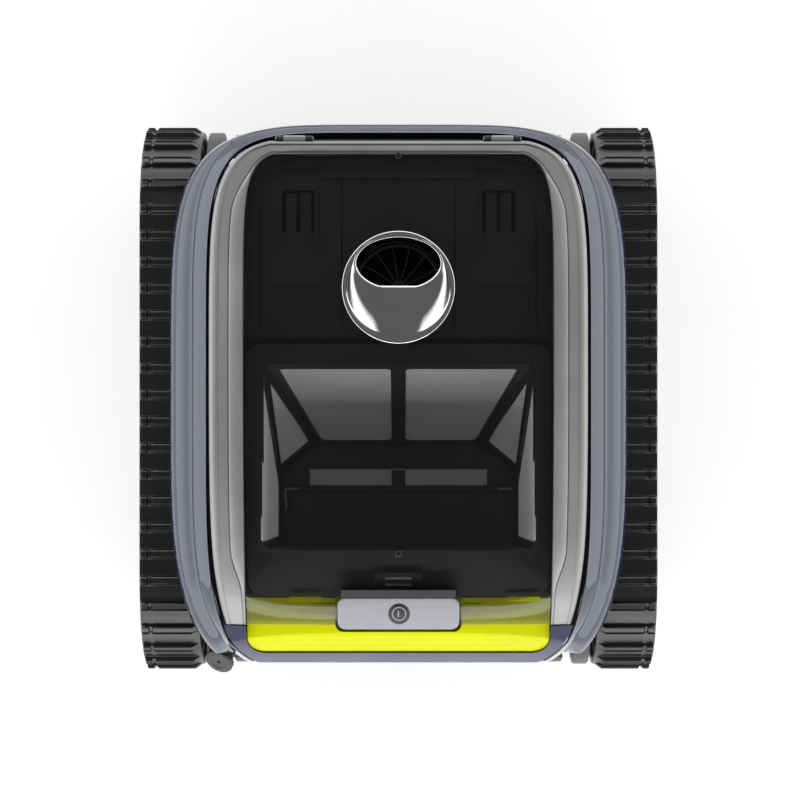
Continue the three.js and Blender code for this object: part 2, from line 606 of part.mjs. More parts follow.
const nozzleCollar = () => latheZ([
  [NOZZLE.collar + GAP, 231], [40, 231], [40, 236], [NOZZLE.collar + GAP, 236], [NOZZLE.collar + GAP, 231],
], 0, NOZZLE.y, 28);

function lidGasket() {
  const ring = (inset, drop) => planAngles.map((angle) => {
    const [x, y] = planPoint(GROOVE, angle, inset);
    return [x, y, domeHeight(x, y) - drop];
  });
  const [low, high] = [DECK.below - 2 * GAP, LID.frame + 1.6];
  const gasket = loftRing([ring(10, low), ring(10, high), ring(15, high), ring(15, low)]);
  return cut(
    gasket,
    box(-FAR, FAR, -FAR, LIP_Y + 1, 0, FAR),
    box(-WELL.half - 1, WELL.half + 1, -FAR, 0, 0, FAR),
  );
}

const hingePin = () => rodX(
  HINGE.pin, HINGE.innerX - HINGE.ear - 1, HINGE.outerX + HINGE.ear + 1, HINGE.y, HINGE.z, 12,
);
const releasePlate = () => common(domeSolid(0.8, -LID.window), prismZ(platePlan(0), 0, FAR));
const releaseHook = () => common(
  domeSolid(-LID.window - GAP, -10), prismZ(roundedRectangle(-12, 12, -160, -154, 1.5, 2), 0, FAR),
);

function screw(x, y) {
  const top = domeHeight(x, y) + 1.6;
  return latheZ([[0, top - 0.6], [2.6, top - 0.6], [2.6, top], [0, top + 0.6]], x, y, 12);
}

// ------------------------------------------------------------------ filter canister
const BOWL = { // corners of the bowl, right side: two at the top, three on the floor
  rearTop: [101.5, 31, 250], frontTop: [101.5, -114.5, 250],
  rearFoot: [67, -38, 59], sideFoot: [95, -60, 59], frontFoot: [95, -118, 59],
};

const canisterBody = (offset, floorZ) => closed(new ConvexGeometry([-1, 1].flatMap((side) => [
  [BOWL.rearTop[0] + offset, BOWL.rearTop[1] + offset, BOWL.rearTop[2]],
  [BOWL.frontTop[0] + offset, BOWL.frontTop[1] - offset, BOWL.frontTop[2]],
  [BOWL.rearFoot[0] + offset / 2, BOWL.rearFoot[1] + offset, floorZ],
  [BOWL.sideFoot[0] + offset, BOWL.sideFoot[1] + offset / 2, floorZ],
  [BOWL.frontFoot[0] + offset, BOWL.frontFoot[1] - offset, floorZ],
].map(([x, y, z]) => new THREE.Vector3(side * x, y, z)))));

const REAR_MESH = [[5, 67], [62, 67], [90, 224], [5, 224]]; // (x, z)
const SIDE_MESH = [[-111, 70], [-68, 70], [14, 222], [-108, 222]]; // (y, z)
const FLOOR_MESH = { half: 72, frontY: -71.5, rearY: -57 };
const CORNER_MESH = { foot: 0.17, side: 0.14, top: 0.36 }; // how far each corner of the panel is drawn in

const shrunk = (points, by) => {
  const middle = points.reduce(([u, v], [a, b]) => [u + a / points.length, v + b / points.length], [0, 0]);
  return points.map(([a, b]) => [a - Math.sign(a - middle[0]) * by, b - Math.sign(b - middle[1]) * by]);
};

// prism square to the slanted corner wall, over its triangle drawn in at each corner, right side
function cornerPrism(draw, reach) {
  const corners = [BOWL.rearFoot, BOWL.sideFoot, BOWL.rearTop].map((point) => new THREE.Vector3(...point));
  const middle = corners.reduce((sum, point) => sum.addScaledVector(point, 1 / 3), new THREE.Vector3());
  const normal = new THREE.Triangle(...corners).getNormal(new THREE.Vector3());
  const shares = [CORNER_MESH.foot, CORNER_MESH.side, CORNER_MESH.top];
  const drawn = corners.map((point, k) => point.clone().lerp(middle, shares[k] + draw));
  return closed(new ConvexGeometry(drawn.flatMap((point) => (
    [-reach, reach].map((along) => point.clone().addScaledVector(normal, along))))));
}

function filterFrame() {
  const { half, front, rear, corner } = WELL_MOUTH;
  const rim = prismZ(
    roundedRectangle(-CANISTER.rimHalf, CANISTER.rimHalf, CANISTER.rimFront, CANISTER.rimRear, 12), 0, FAR,
    [roundedRectangle(-half, half, front, rear, corner)],
  );
  const dome = domeSolid(-CANISTER.rimBelow, -CANISTER.rimBelow - CANISTER.rimThick);
  const outside = canisterBody(CANISTER.wall, CANISTER.floorZ - CANISTER.wall);
  const walls = common(outside, domeSolid(-CANISTER.rimBelow, -230));
  const body = cut(join(walls, common(rim, dome)), canisterBody(0, CANISTER.floorZ));
  const rearWindow = prismY(REAR_MESH, -50, 80);
  return cut(
    body,
    rearWindow,
    mirrored(rearWindow),
    prismX(SIDE_MESH, -120, -80),
    prismX(SIDE_MESH, 80, 120),
    cornerPrism(0, 9),
    mirrored(cornerPrism(0, 9)),
    box(-MOUTH.half, MOUTH.half, MOUTH.frontY, MOUTH.rearY, 40, 70),
    box(-FLOOR_MESH.half, FLOOR_MESH.half, FLOOR_MESH.frontY, FLOOR_MESH.rearY, 40, 70),
  );
}

// thin mesh sheets that lie in the wall openings
const wallSheet = () => cut(canisterBody(2.2, CANISTER.floorZ - 2.2), canisterBody(1, CANISTER.floorZ - 1));
const rearMesh = () => common(wallSheet(), prismY(shrunk(REAR_MESH, GAP + 0.2), -50, 80));
const sideMesh = () => common(wallSheet(), prismX(shrunk(SIDE_MESH, GAP + 0.2), 80, 120));
const cornerMesh = () => common(wallSheet(), cornerPrism(0.03, 9));
const floorMesh = () => box(
  -FLOOR_MESH.half + GAP, FLOOR_MESH.half - GAP, FLOOR_MESH.frontY + GAP, FLOOR_MESH.rearY - GAP, 56.8, 58,
);

function filterHandle() {
  const { half, rearY, frontY, bottomZ, below, inset } = HANDLE;
  const outside = box(-half, half, frontY, rearY, bottomZ, FAR);
  const outer = common(domeSolid(-below, -130), frontPrism(inset), outside);
  const inside = box(4 - half, half - 4, -FAR, FAR, 0, FAR);
  const inner = common(domeSolid(-below - 4, -170), frontPrism(inset + 4), inside);
  const underPlate = common(
    domeSolid(10, -below - 7),
    prismZ(roundedRectangle(-PLATE.half - 2, PLATE.half + 2, -177, -140, 4), 0, FAR),
  );
  const plateFloor = common(
    domeSolid(-below - 7.2, -below - 10),
    box(-PLATE.half - 4, PLATE.half + 4, -180, rearY, 0, FAR),
    frontPrism(inset + 2),
  );
  const grip = rodX(3, -85, 85, -193.5, 163, 12);
  return cut(join(cut(outer, inner, underPlate), plateFloor), grip);
}

const flapRod = () => rodX(1.3, -92, 92, FLAP.hingeY, FLAP.hingeZ, 10);

function intakeFlap() {
  const [frontY, rearY] = [MOUTH.frontY, FLAP.hingeY - 2.2];
  const lowZ = CANISTER.floorZ + GAP;
  const topZ = CANISTER.floorZ + 2.2;
  const sheet = box(-FLAP.half, FLAP.half, frontY - 3, rearY, lowZ, topZ);
  const ribs = [-2, -1, 0, 1, 2].map((k) => {
    const x = k * FLAP.ribPitch;
    return box(x - 1, x + 1, frontY, rearY - 1.8, topZ - 0.2, topZ + 2.8);
  });
  const barrel = rodX(2.9, -80, 80, FLAP.hingeY, FLAP.hingeZ, 12);
  const slot = rodX(1.7, -90, 90, FLAP.hingeY, FLAP.hingeZ, 10);
  return cut(join(sheet, barrel, ...ribs), slot);
}

// small hook spring beside the flap
function flapSpring() {
  const path = new THREE.CatmullRomCurve3([
    [-91, -72, 66], [-91, -80, 68], [-90, -86, 70], [-91, -92, 68], [-92, -90, 64],
  ].map((point) => new THREE.Vector3(...point)));
  const section = new THREE.Shape().absarc(0, 0, 0.8, 0, 2 * Math.PI);
  const options = { steps: 14, curveSegments: 4, extrudePath: path, bevelEnabled: false };
  return closed(new THREE.ExtrudeGeometry(section, options));
}

function canisterLatch() {
  const slab = common(
    domeSolid(-4.8, -CANISTER.rimBelow + GAP),
    prismZ(roundedRectangle(-LATCH.half, LATCH.half, LATCH.frontY, LATCH.rearY, 2.5, 3), 0, FAR),
  );
  const ridges = [3, 8, 13].map((along) => LATCH.frontY + along).map((y) => common(
    domeSolid(-4.2, -6), prismZ(roundedRectangle(-10, 10, y, y + 1.8, 0.8, 2), 0, FAR),
  ));
  return join(slab, ...ridges);
}

// ------------------------------------------------------------------ assembly
const finish = (color, roughness, metalness = 0) => (
  new THREE.MeshStandardMaterial({ color, roughness, metalness }));
const LOOKS = {
  navy: finish(0x2d3255, 0.25),
  silver: finish(0x8c8d8d, 0.4, 0.3),
  smoked: finish(0x222222, 0.1),
  black: finish(0x1c1d1f, 0.5),
  grey: finish(0x3a3c3e, 0.5),
  rubber: finish(0x1e2021, 0.75),
  yellow: finish(0xe6f200, 0.35),
  mesh: finish(0x78787a, 0.7),
  chrome: finish(0xd0d0d4, 0.08, 1),
  badge: finish(0xb4b4bc, 0.35, 0.6),
  steel: finish(0x9a9ca0, 0.35, 1),
  board: finish(0x1f5a35, 0.6),
};

const robot = new THREE.Group();

function add(name, geometry, look) {
  const mesh = new THREE.Mesh(geometry, LOOKS[look]);
  mesh.name = name;
  robot.add(mesh);
}

function addPair(name, geometry, look) {
  add(`right_${name}`, geometry, look);
  add(`left_${name}`, mirrored(geometry), look);
}

// hull
add('chassis_tub', chassisTub(), 'black');
add('upper_deck', upperDeck(), 'black');
add('body_rim', bodyRim(), 'navy');
add('left_fender', cut(fender(), glandRoom(), box(-FAR, FAR, -FAR, -197, 0, FAR)), 'navy');
add('right_fender', mirrored(fender()), 'navy');
add('rear_cover', rearCover(), 'navy');
add('front_fascia', frontFascia(), 'navy');
add('gland_body', glandBody(), 'grey');
add('gland_cap', glandCap(), 'grey');
add('intake_duct', intakeDuct(), 'black');
add('intake_skirt', intakeSkirt(), 'rubber');

// tracks and brushes
addPair('track_belt', trackBelt(), 'rubber');
add('right_side_frame', sideFrame(), 'grey');
add('left_side_frame', cut(mirrored(sideFrame()), glandRod(GLAND.body + GAP, -30, 10)), 'grey');
addPair('hub_panel', hubPanel(), 'grey');
addPair('rear_wheel', trackWheel(TRACK.wheelY, AXLE.motorX), 'grey');
addPair('front_wheel', trackWheel(-TRACK.wheelY, AXLE.stubX), 'grey');
addPair('rear_brush', brushRoller(1), 'rubber');
addPair('front_brush', brushRoller(-1), 'rubber');

// pump and drive
add('motor_housing', motorHousing(), 'black');
add('motor_cover', motorCover(), 'black');
add('pump_motor', pumpMotor(), 'steel');
addPair('traction_motor', tractionMotor(), 'steel');
add('control_board', controlBoard(), 'board');
add('pump_duct', pumpDuct(), 'black');
add('impeller', impeller(), 'grey');
add('impeller_shaft', impellerShaft(), 'steel');

// lid
add('lid_frame', lidFrame(), 'silver');
add('lid_window', lidWindow(), 'smoked');
add('outlet_nozzle', outletNozzle(), 'chrome');
add('outlet_grille', outletGrille(), 'black');
add('nozzle_collar', nozzleCollar(), 'black');
add('lid_gasket', lidGasket(), 'rubber');
addPair('hinge_pin', hingePin(), 'steel');
add('release_plate', releasePlate(), 'badge');
add('release_hook', releaseHook(), 'black');
add('rear_screw', screw(0, 181), 'black');
add('front_screw', screw(0, -116), 'black');

// filter canister
add('filter_frame', filterFrame(), 'black');
add('filter_handle', filterHandle(), 'yellow');
addPair('rear_mesh', rearMesh(), 'mesh');
addPair('side_mesh', sideMesh(), 'mesh');
addPair('corner_mesh', cornerMesh(), 'mesh');
add('floor_mesh', floorMesh(), 'mesh');
add('flap_rod', flapRod(), 'steel');
add('flap_spring', flapSpring(), 'steel');
add('intake_flap', intakeFlap(), 'black');
add('canister_latch', canisterLatch(), 'black');

export default robot;
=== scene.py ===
"""Looks of a tracked pool cleaning robot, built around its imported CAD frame."""
import math

import bmesh
import bpy
from mathutils import Matrix, Vector

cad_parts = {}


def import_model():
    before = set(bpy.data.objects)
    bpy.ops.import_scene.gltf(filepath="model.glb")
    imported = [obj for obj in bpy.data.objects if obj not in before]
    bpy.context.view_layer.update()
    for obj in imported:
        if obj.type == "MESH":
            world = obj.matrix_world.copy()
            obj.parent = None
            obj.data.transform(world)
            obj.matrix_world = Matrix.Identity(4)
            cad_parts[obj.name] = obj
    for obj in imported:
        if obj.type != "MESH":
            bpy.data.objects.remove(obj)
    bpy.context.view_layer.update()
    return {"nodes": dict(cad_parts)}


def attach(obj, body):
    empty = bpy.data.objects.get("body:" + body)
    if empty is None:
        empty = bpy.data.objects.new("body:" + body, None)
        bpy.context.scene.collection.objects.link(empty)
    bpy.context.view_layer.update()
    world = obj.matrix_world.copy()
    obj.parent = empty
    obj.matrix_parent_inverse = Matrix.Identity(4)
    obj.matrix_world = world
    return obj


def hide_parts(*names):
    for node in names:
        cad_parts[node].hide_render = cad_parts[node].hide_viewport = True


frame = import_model()

MM = 0.001  # lengths below are millimetres, and meshes are made in metres
FAR = 400.0  # beyond the machine, for cutting shapes

# ------------------------------------------------------------------ driving dimensions, as in the CAD
GROOVE = {"half": 143, "rear": 198, "front": 226, "rear_power": 6, "front_power": 4.5}
CREASE = {"half": 156, "rear": 206, "front": 214, "rear_power": 5.5, "front_power": 4.5}
EDGE = {"half": 176, "rear": 208, "front": 225, "rear_power": 5, "front_power": 4}
WINDOW = {"half": 115, "rear": 186, "front": 186, "rear_power": 9, "front_power": 9}
CROWN, CROWN_Y, REAR_DROP, FRONT_DROP, SPINE_POWER = 246, 30, 14, 38, 2.4
EDGE_DROP, EDGE_POWER = 16, 5
LIP_Y = -171
FRONT_Y, FRONT_Z, FRONT_TOP_Z, FRONT_BOTTOM_Z, FRONT_POWER = -208, 115, 203, 84, 1.6
RIM_BELOW, RIM_SHOULDER, RIM_DEPTH, RIM_END_Y, FENDER_END_Y = 17, 8, 16, -206.8, -197
FENDER_X, FENDER_Z, FENDER_DROP, FENDER_POWER = 126.6, 168, 20, 6
COVER_X, COVER_LOW_Z = 126, 95
LID_INSET, LID_THICK, WINDOW_THICK = 1.8, 8, 3
NOZZLE_Y, FLANGE, COLLAR, THROAT, NOZZLE_LOW_Z = 82, 42, 35.2, 33, 226
WHEEL_Y, WHEEL_Z, SIDE_PLATE = 136, 80, 76
BELT_IN_X, BELT_OUT_X, BELT_INNER, BELT_SKIN, BELT_RIB, RIBS = 154, 200, 71, 76, 80, 50
BRUSH_Y, BRUSH_Z, BRUSH_CORE, BRUSH_TIP, FINS = 179, 37, 25, 36, 7
WELL_HALF, WELL_REAR_Y = 116.5, 44
DECK_BELOW, DECK_THICK, DECK_LOW_Z = 16, 4, 166
HANDLE_HALF, HANDLE_REAR_Y, HANDLE_FRONT_Y, HANDLE_LOW_Z, HANDLE_BELOW = 114.7, -150.5, -196.2, 150, 5
PLATE_HALF, PLATE_REAR_Y, PLATE_FRONT_Y = 45.8, -150, -174.5
LATCH_HALF, LATCH_REAR_Y, LATCH_FRONT_Y = 18, -131, -149
GLAND_AT, GLAND_AXIS = Vector((-139, -203.6, 126)), Vector((-0.35, -0.63, 0.69)).normalized()
HINGE, HINGE_PIN, HINGE_REAR_Y = (194, 213), 2.5, 196.9  # (y, z) of the lid's hinge
EAR_WIDTH, INNER_EAR_X, OUTER_EAR_X = 5.3, 64.7, 86  # the deck's ears stand either side of a lid barrel
LINK_SCREWS = ((-38, 50), (38, 50), (-38, 110), (38, 110))  # (y, z) of the posts between the wheels
GROOVE_STEPS = 360  # stations round the groove between lid and rim
WEAVE_COLOR = (0.85, 0.85, 0.86)


# ------------------------------------------------------------------ materials
def shader_of(material):
    return material.node_tree.nodes["Principled BSDF"]


def node(material, kind, **values):
    made = material.node_tree.nodes.new(kind)
    for key, value in values.items():
        setattr(made, key, value)
    return made


def link(material, source, target):
    material.node_tree.links.new(source, target)


def noise(material, scale, detail=4.0, stretch=(1, 1, 1)):
    """Noise in the piece's own coordinates, stretched along its axes."""
    where = node(material, "ShaderNodeTexCoord")
    mapping = node(material, "ShaderNodeMapping")
    set_inputs(mapping, Scale=stretch)
    texture = node(material, "ShaderNodeTexNoise")
    set_inputs(texture, Scale=scale, Detail=detail)
    link(material, where.outputs["Object"], mapping.inputs["Vector"])
    link(material, mapping.outputs["Vector"], texture.inputs["Vector"])
    return texture.outputs["Fac"]


def set_inputs(target, **values):
    """Sets a node's sockets, named with _ for each space."""
    for name, value in values.items():
        target.inputs[name.replace("_", " ")].default_value = value


def spread(material, value, low, high, start=0.2, end=0.8):
    """The value's stretch from start to end, spread over low to high."""
    ramp = node(material, "ShaderNodeMapRange")
    set_inputs(ramp, From_Min=start, From_Max=end, To_Min=low, To_Max=high)
    link(material, value, ramp.inputs["Value"])
    return ramp.outputs["Result"]


def two_tone(material, value, dark, light):
    """Colour between dark and light by the value."""
    mix = node(material, "ShaderNodeMix", data_type="RGBA")
    for name, color in (("A", dark), ("B", light)):
        mix.inputs[name].default_value = (*color, 1)
    link(material, value, mix.inputs["Factor"])
    return mix.outputs["Result"]


def bump(material, height, strength, distance):
    raised = node(material, "ShaderNodeBump")
    set_inputs(raised, Strength=strength, Distance=distance * MM)
    link(material, height, raised.inputs["Height"])
    return raised.outputs["Normal"]


def moulded(name, color, roughness, metallic=0.0, coat=0.0, tint=0.12, cloud=18, grain=1400,
            relief=0.02, strength=0.25, stretch=(1, 1, 1), specular=0.5):
    """Clouded colour and roughness with a fine grain raised on it."""
    material = bpy.data.materials.new(name)
    material.use_nodes = True
    shader = shader_of(material)
    set_inputs(shader, Metallic=metallic, Coat_Weight=coat, Coat_Roughness=0.06, Specular_IOR_Level=specular)
    clouds = noise(material, cloud, 5.0, stretch)
    dark = [channel * (1 - tint) for channel in color]
    light = [min(1.0, channel * (1 + tint)) for channel in color]
    tone = two_tone(material, spread(material, clouds, 0, 1), dark, light)
    link(material, tone, shader.inputs["Base Color"])
    rough = spread(material, clouds, roughness * 0.85, min(1.0, roughness * 1.2))
    link(material, rough, shader.inputs["Roughness"])
    fine = noise(material, grain, 3.0, stretch)
    link(material, bump(material, fine, strength, relief), shader.inputs["Normal"])
    return material


def woven(name, across, painted_glow, pitch=1.0):
    """Crossed threads: bright on the threads, dark between them, with a painted glow: emission that stands in
    for light reaching them.
    """
    material = moulded(name, WEAVE_COLOR, 0.6, cloud=25, grain=900, relief=0.05)
    shader = shader_of(material)
    where = node(material, "ShaderNodeTexCoord")
    waves = []
    for direction in across:
        wave = node(material, "ShaderNodeTexWave", wave_type="BANDS", bands_direction=direction)
        wave.inputs["Scale"].default_value = 1 / (pitch * MM) / 3.2
        link(material, where.outputs["Object"], wave.inputs["Vector"])
        waves.append(wave.outputs["Fac"])
    thread = node(material, "ShaderNodeMath", operation="MAXIMUM")
    for index, wave in enumerate(waves):
        link(material, wave, thread.inputs[index])
    gaps = [channel * 0.45 for channel in WEAVE_COLOR]
    tone = two_tone(material, thread.outputs[0], gaps, WEAVE_COLOR)
    link(material, tone, shader.inputs["Base Color"])
    # painted light: the threads glow by emission in their own colour, though they are no lamp
    link(material, tone, shader.inputs["Emission Color"])
    set_inputs(shader, Emission_Strength=painted_glow)
    link(material, bump(material, thread.outputs[0], 0.5, 0.2), shader.inputs["Normal"])
    return material


def smoked():
    """Clear smoked sheet with a polished face and faint moulding clouds."""
    material = moulded("smoked_clear", (0.010, 0.010, 0.011), 0.03, coat=0.3, tint=0.2, grain=60,
                       relief=0.02, strength=0.08)
    shader = shader_of(material)
    clouds = noise(material, 9)
    link(material, spread(material, clouds, 0.25, 0.29), shader.inputs["Alpha"])
    return material


def circuit():
    """Green solder mask with lighter traces along one axis."""
    material = moulded("board_green", (0.02, 0.1, 0.04), 0.35, cloud=60, grain=600)
    traces = noise(material, 260, 1.0, (1, 0.15, 1))
    sharp = spread(material, traces, 0, 1, 0.5, 0.54)
    tone = two_tone(material, sharp, (0.015, 0.08, 0.03), (0.05, 0.2, 0.09))
    link(material, tone, shader_of(material).inputs["Base Color"])
    return material


NAVY_COLOR = (0.016, 0.024, 0.070)
NAVY = moulded("navy_gloss", NAVY_COLOR, 0.14, coat=1.0, tint=0.08, grain=260, relief=0.004)
NAVY_SATIN = moulded("navy_satin", NAVY_COLOR, 0.3, specular=0.3, tint=0.08, grain=260, relief=0.004)
SILVER = moulded("silver_satin", (0.36, 0.362, 0.362), 0.36, metallic=0.35, coat=0.15, grain=2600,
                 relief=0.012)
SMOKED = smoked()
BLACK = moulded("black_plastic", (0.024, 0.024, 0.025), 0.42, grain=1100, relief=0.03)
GREY = moulded("grey_plastic", (0.054, 0.055, 0.057), 0.4, grain=1100, relief=0.05)
RUBBER = moulded("black_rubber", (0.0045, 0.0050, 0.0052), 0.33, specular=0.9, tint=0.25, cloud=40,
                 grain=800, relief=0.05)
YELLOW = moulded("yellow_plastic", (0.66, 0.69, 0.0), 0.34, specular=0.03, tint=0.04, grain=500, relief=0.01)
# painted light: each panel's glow strength is set by which way it faces, brightest on the side panels, then
# the corner, rear and floor ones
WEAVE_XZ = woven("filter_mesh_rear", ("X", "Z"), 0.07)
WEAVE_YZ = woven("filter_mesh_side", ("Y", "Z"), 0.22)
WEAVE_CORNER = woven("filter_mesh_corner", ("Y", "Z"), 0.15)
WEAVE_XY = woven("filter_mesh_floor", ("X", "Y"), 0.03)
CHROME = moulded("chrome", (0.55, 0.55, 0.56), 0.07, metallic=1.0, tint=0.03, grain=120, relief=0.004)
BADGE = moulded("badge_silver", (0.36, 0.36, 0.40), 0.45, metallic=0.3, cloud=20, grain=60, relief=0.02,
                stretch=(1, 40, 40))
STEEL = moulded("steel", (0.40, 0.41, 0.42), 0.32, metallic=1.0, grain=300, relief=0.02)
BOARD = circuit()


# ------------------------------------------------------------------ mesh tools
def opened(*meshes):
    """All the meshes in one editable mesh."""
    bm = bmesh.new()
    for mesh in meshes:
        bm.from_mesh(mesh)
    return bm


def closed(bm, name="made"):
    mesh = bpy.data.meshes.new(name)
    bm.to_mesh(mesh)
    bm.free()
    return mesh


def to_mesh(bm):
    """Cleans the editable mesh and closes it."""
    bmesh.ops.remove_doubles(bm, verts=bm.verts, dist=0.01 * MM)
    bmesh.ops.dissolve_degenerate(bm, edges=bm.edges, dist=0.005 * MM)
    bmesh.ops.delete(bm, geom=[edge for edge in bm.edges if not edge.link_faces], context="EDGES")
    bmesh.ops.recalc_face_normals(bm, faces=bm.faces)
    return closed(bm)


def from_faces(points, faces):
    bm = bmesh.new()
    verts = [bm.verts.new([value * MM for value in point]) for point in points]
    for face in faces:
        bm.faces.new([verts[i] for i in face])
    return to_mesh(bm)


def skinned(rings, around=False):
    """Closed mesh through equal rings: round to the first ring again, or with its two ends filled."""
    count = len(rings[0])
    points = [point for ring in rings for point in ring]
    steps = len(rings) if around else len(rings) - 1
    faces = []
    for i in range(steps):
        a, b = i * count, (i + 1) % len(rings) * count
        faces += [(a + k, a + (k + 1) % count, b + (k + 1) % count, b + k) for k in range(count)]
    if not around:
        faces += [tuple(range(count)), tuple(range(len(points) - count, len(points)))]
    return from_faces(points, faces)


def joined(*meshes):
    return closed(opened(*meshes))


def mirrored(mesh):
    bm = opened(mesh)
    for vert in bm.verts:
        vert.co.x = -vert.co.x
    return to_mesh(bm)


def trimmed(mesh, *planes):
    """Keeps what lies behind each (point, normal) plane and fills the cut."""
    bm = opened(mesh)
    for point, normal in planes:
        geometry = bm.verts[:] + bm.edges[:] + bm.faces[:]
        cut = bmesh.ops.bisect_plane(
            bm, geom=geometry, dist=1e-7, plane_co=Vector(point) * MM, plane_no=normal, clear_outer=True)
        edges = [item for item in cut["geom_cut"] if isinstance(item, bmesh.types.BMEdge)]
        bmesh.ops.holes_fill(bm, edges=edges)
    return to_mesh(bm)


def combined(mesh, tools, operation):
    """Boolean of a mesh with each of the tools in turn."""
    for tool in tools:
        left = bpy.data.objects.new("left", mesh)
        right = bpy.data.objects.new("right", tool)
        for item in (left, right):
            bpy.context.scene.collection.objects.link(item)
        modifier = left.modifiers.new("cut", "BOOLEAN")
        modifier.object = right
        modifier.operation = operation
        modifier.solver = "MANIFOLD"
        mesh = bpy.data.meshes.new_from_object(left.evaluated_get(bpy.context.evaluated_depsgraph_get()))
        bpy.data.objects.remove(left)
        bpy.data.objects.remove(right)
    return mesh


def carved(mesh, *tools):
    return combined(mesh, tools, "DIFFERENCE")


def common(mesh, *tools):
    return combined(mesh, tools, "INTERSECT")


def arc(u, v, radius, start, end, steps):
    """Points of an arc, angles in degrees."""
    turns = [math.radians(start + (end - start) * k / steps) for k in range(steps + 1)]
    return [(u + radius * math.cos(t), v + radius * math.sin(t)) for t in turns]


def rounded_box(u0, u1, v0, v1, radius, steps=6):
    corners = ((u1 - radius, v0 + radius), (u1 - radius, v1 - radius),
               (u0 + radius, v1 - radius), (u0 + radius, v0 + radius))
    return [point for k, (u, v) in enumerate(corners)
            for point in arc(u, v, radius, 90 * k - 90, 90 * k, steps)]


def eased(points, radius, steps=3):
    """Closed outline with each corner replaced by a short curve of about that radius."""
    made = []
    for k, (u, v) in enumerate(points):
        before, after = points[k - 1], points[(k + 1) % len(points)]
        ends = []
        for other in (before, after):
            length = math.dist((u, v), other)
            reach = min(radius, 0.45 * length) / max(length, 1e-9)
            ends.append((u + (other[0] - u) * reach, v + (other[1] - v) * reach))
        for i in range(steps + 1):
            t = i / steps
            weights = ((1 - t) ** 2, 2 * t * (1 - t), t ** 2)
            made.append(tuple(weights[0] * ends[0][j] + weights[1] * (u, v)[j] + weights[2] * ends[1][j]
                              for j in (0, 1)))
    return made


def prism(points, axis, low, high, ease=0.0):
    """Outline extruded along an axis, with its two end edges rounded by ease."""
    def place(u, v, w):
        return {"x": (w, u, v), "y": (u, w, v), "z": (u, v, w)}[axis]

    def ring(inset, w):
        made = []
        for k, (u, v) in enumerate(points):
            before, after = points[k - 1], points[(k + 1) % len(points)]
            tangent = Vector((after[0] - before[0], after[1] - before[1])).normalized()
            made.append(place(u - tangent.y * inset, v + tangent.x * inset, w))
        return made

    area = sum(points[k - 1][0] * points[k][1] - points[k][0] * points[k - 1][1] for k in range(len(points)))
    if area < 0:
        points = points[::-1]
    if not ease:
        return skinned([ring(0, low), ring(0, high)])
    curve = [(1 - math.sin(t), 1 - math.cos(t)) for t in (0, math.pi / 6, math.pi / 3, math.pi / 2)]
    under = [ring(ease * inset, low + ease * rise) for inset, rise in curve]
    over = [ring(ease * inset, high - ease * rise) for inset, rise in reversed(curve)]
    return skinned(under + over)


def box(x0, x1, y0, y1, z0, z1, radius=0.0):
    if radius:
        return prism(rounded_box(x0, x1, y0, y1, radius), "z", z0, z1, radius * 0.5)
    return prism([(x0, y0), (x1, y0), (x1, y1), (x0, y1)], "z", z0, z1)


def lathe(profile, axis, centre, steps=48):
    """Profile of (radius, height) turned about an axis through centre, given as its two other coordinates."""
    u, v = centre
    rings = []
    for k in range(steps):
        c, s = math.cos(2 * math.pi * k / steps), math.sin(2 * math.pi * k / steps)
        if axis == "x":
            rings.append([(h, u + r * c, v + r * s) for r, h in profile])
        elif axis == "y":
            rings.append([(u + r * c, h, v + r * s) for r, h in profile])
        else:
            rings.append([(u + r * c, v + r * s, h) for r, h in profile])
    return skinned(rings, around=True)


def rod(axis, centre, radius, low, high, ease=0.4, steps=32):
    ease = min(ease, radius * 0.5, (high - low) * 0.4)
    lower = [(0, low), (radius - ease, low), (radius - 0.3 * ease, low + 0.3 * ease), (radius, low + ease)]
    upper = [(reach, high - (height - low)) for reach, height in reversed(lower)]
    return lathe(lower + upper, axis, centre, steps)


def dome_shaded(mesh):
    """Normals of the faces that follow the dome are taken from the dome, whatever their triangles are."""
    step = 0.5
    normals = []
    for face in mesh.polygons:
        for index in face.vertices:
            x, y, _ = mesh.vertices[index].co / MM
            slope_x = (dome_height(x + step, y) - dome_height(x - step, y)) / (2 * step)
            slope_y = (dome_height(x, y + step) - dome_height(x, y - step)) / (2 * step)
            up = Vector((-slope_x, -slope_y, 1)).normalized()
            facing = up.dot(face.normal)
            normals.append(up if facing > 0.93 else -up if facing < -0.93 else face.normal.copy())
    mesh.normals_split_custom_set(normals)


def ease_edges(obj, width, segments, angle):
    """Narrow bevel on the edges sharper than the angle."""
    edges = obj.modifiers.new("edges", "BEVEL")
    edges.width = width * MM
    edges.segments = segments
    edges.limit_method = "ANGLE"
    edges.angle_limit = math.radians(angle)
    edges.harden_normals = True


def piece(name, mesh, body, material, replaces=None, sharp=32, bevel=0.0, segments=2, on_dome=False):
    """Adds the mesh as a piece of the object."""
    mesh.name = name
    mesh.materials.clear()
    mesh.materials.append(material)
    mesh.shade_smooth()
    mesh.set_sharp_from_angle(angle=math.radians(sharp))
    if on_dome:
        dome_shaded(mesh)
    obj = bpy.data.objects.new(name, mesh)
    bpy.context.scene.collection.objects.link(obj)
    if bevel:
        ease_edges(obj, bevel, segments, sharp)
    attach(obj, body)
    if replaces:
        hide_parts(replaces)


def pair(name, mesh, body, material, replaces, **looks):
    """The mesh as a right piece and mirrored as a left one; {} in the names stands for the side."""
    for side, made in (("right", mesh), ("left", mirrored(mesh))):
        piece(name.format(side), made, body.format(side), material, replaces.format(side), **looks)


# ------------------------------------------------------------------ surfaces of the hull
def plan_end(plan, y):
    """(reach, power) of the outline's rear or front half."""
    end = "rear" if y >= 0 else "front"
    return plan[end], plan[end + "_power"]


def plan_size(plan, x, y):
    """1 on the plan outline, less inside it."""
    reach, power = plan_end(plan, y)
    return ((abs(x) / plan["half"]) ** power + (abs(y) / reach) ** power) ** (1 / power)


